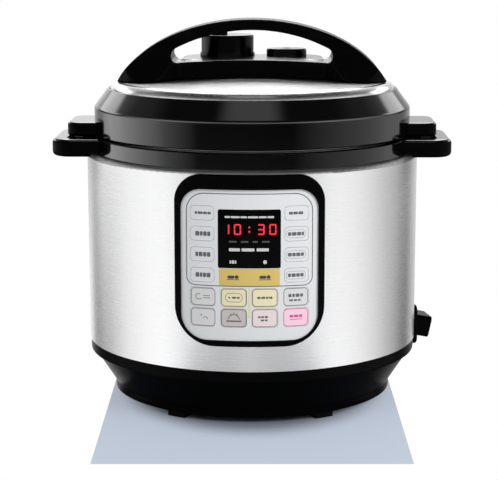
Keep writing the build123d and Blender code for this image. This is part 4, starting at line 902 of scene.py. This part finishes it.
# Heights where the strip rises and falls, and where the other parts take over from the walls
STRIP_HEIGHTS = (-10.5, -9.3, -1, 2)
UPPER_HEIGHTS = (18, 28)
GROUND_HEIGHTS = (-30, -50)
OVERHEAD_HEIGHTS = (42, 52)
GROUND_LEVEL = 0.08
OVERHEAD_LEVEL = 0.02
# Soft boxes: level, then the angles off the front and the heights where each one rises and falls.
# An angle below 0 or above 180 never comes up, so a box has no edge there
studio_boxes = {
    "over the front": (0.5, (-2, -1, 22, 48), (60, 63, 71, 74)),
    "high behind": (4.5, (150, 165, 181, 182), (30, 40, 60, 66)),
    "low behind": (6.0, (164, 174, 181, 182), (10, 18, 40, 50)),
    "at both sides": (2.1, (112, 124, 148, 160), (9, 13, 24, 28)),
}
# Level of the room for everything that isn't a reflection
ROOM_LEVEL = 0.62


def studio_world():
    """White to the camera, a studio of soft boxes in reflections and an even gray for the rest."""
    world = bpy.data.worlds.new("studio")
    bpy.context.scene.world = world
    world.use_nodes = True
    world.node_tree.nodes.clear()
    direction = split(world, add_node(world, "ShaderNodeTexCoord").outputs["Generated"])
    azimuth = turn_from_front(world, direction)
    round_share = calculated(world, "ADD", calculated(world, "DIVIDE", azimuth, 2 * pi), 0.5)
    off_front = calculated(world, "ABSOLUTE", azimuth)
    height = calculated(world, "ARCSINE", direction["Z"])

    def past(angle, start, end):
        """A smooth step from 0 to 1 between two angles."""
        return mapped(world, angle, radians(start), radians(end), curve="SMOOTHSTEP")

    def between(angle, rise_start, rise_end, fall_start, fall_end):
        """1 between two angles, with soft edges."""
        risen, fallen = past(angle, rise_start, rise_end), past(angle, fall_start, fall_end)
        return calculated(world, "SUBTRACT", risen, fallen)

    def levels(stops):
        """The level at an azimuth, from a list of stops all the way round."""
        node = add_node(world, "ShaderNodeValToRGB")
        elements = node.color_ramp.elements
        while len(elements) < len(stops):
            elements.new(0.5)
        for element, (stop, level) in zip(elements, stops):
            element.position = stop / 360 + 0.5
            element.color = (level, level, level, 1)
        link(world, round_share, node.inputs["Fac"])
        return node.outputs["Color"]

    walls = blended(world, past(height, *GROUND_HEIGHTS), levels(WALL_LEVELS), GROUND_LEVEL)
    sides = blended(world, between(height, *STRIP_HEIGHTS), walls, levels(STRIP_LEVELS))
    upper = blended(world, past(height, *UPPER_HEIGHTS), sides, levels(UPPER_LEVELS))
    reflected = blended(world, past(height, *OVERHEAD_HEIGHTS), upper, OVERHEAD_LEVEL)
    for level, angles, heights in studio_boxes.values():
        share = calculated(world, "MULTIPLY", between(off_front, *angles), between(height, *heights))
        reflected = calculated(world, "MAXIMUM", reflected, calculated(world, "MULTIPLY", share, level))

    rays = add_node(world, "ShaderNodeLightPath").outputs
    mirrored = calculated(world, "MAXIMUM", rays["Is Glossy Ray"], rays["Is Transmission Ray"])
    lit_room = blended(world, mirrored, ROOM_LEVEL, reflected)
    background = add_node(world, "ShaderNodeBackground")
    background.inputs["Color"].default_value = (1, 1, 1, 1)
    link(world, calculated(world, "MAXIMUM", lit_room, rays["Is Camera Ray"]), background.inputs["Strength"])
    output = add_node(world, "ShaderNodeOutputWorld")
    link(world, background.outputs["Background"], output.inputs["Surface"])


studio_world()
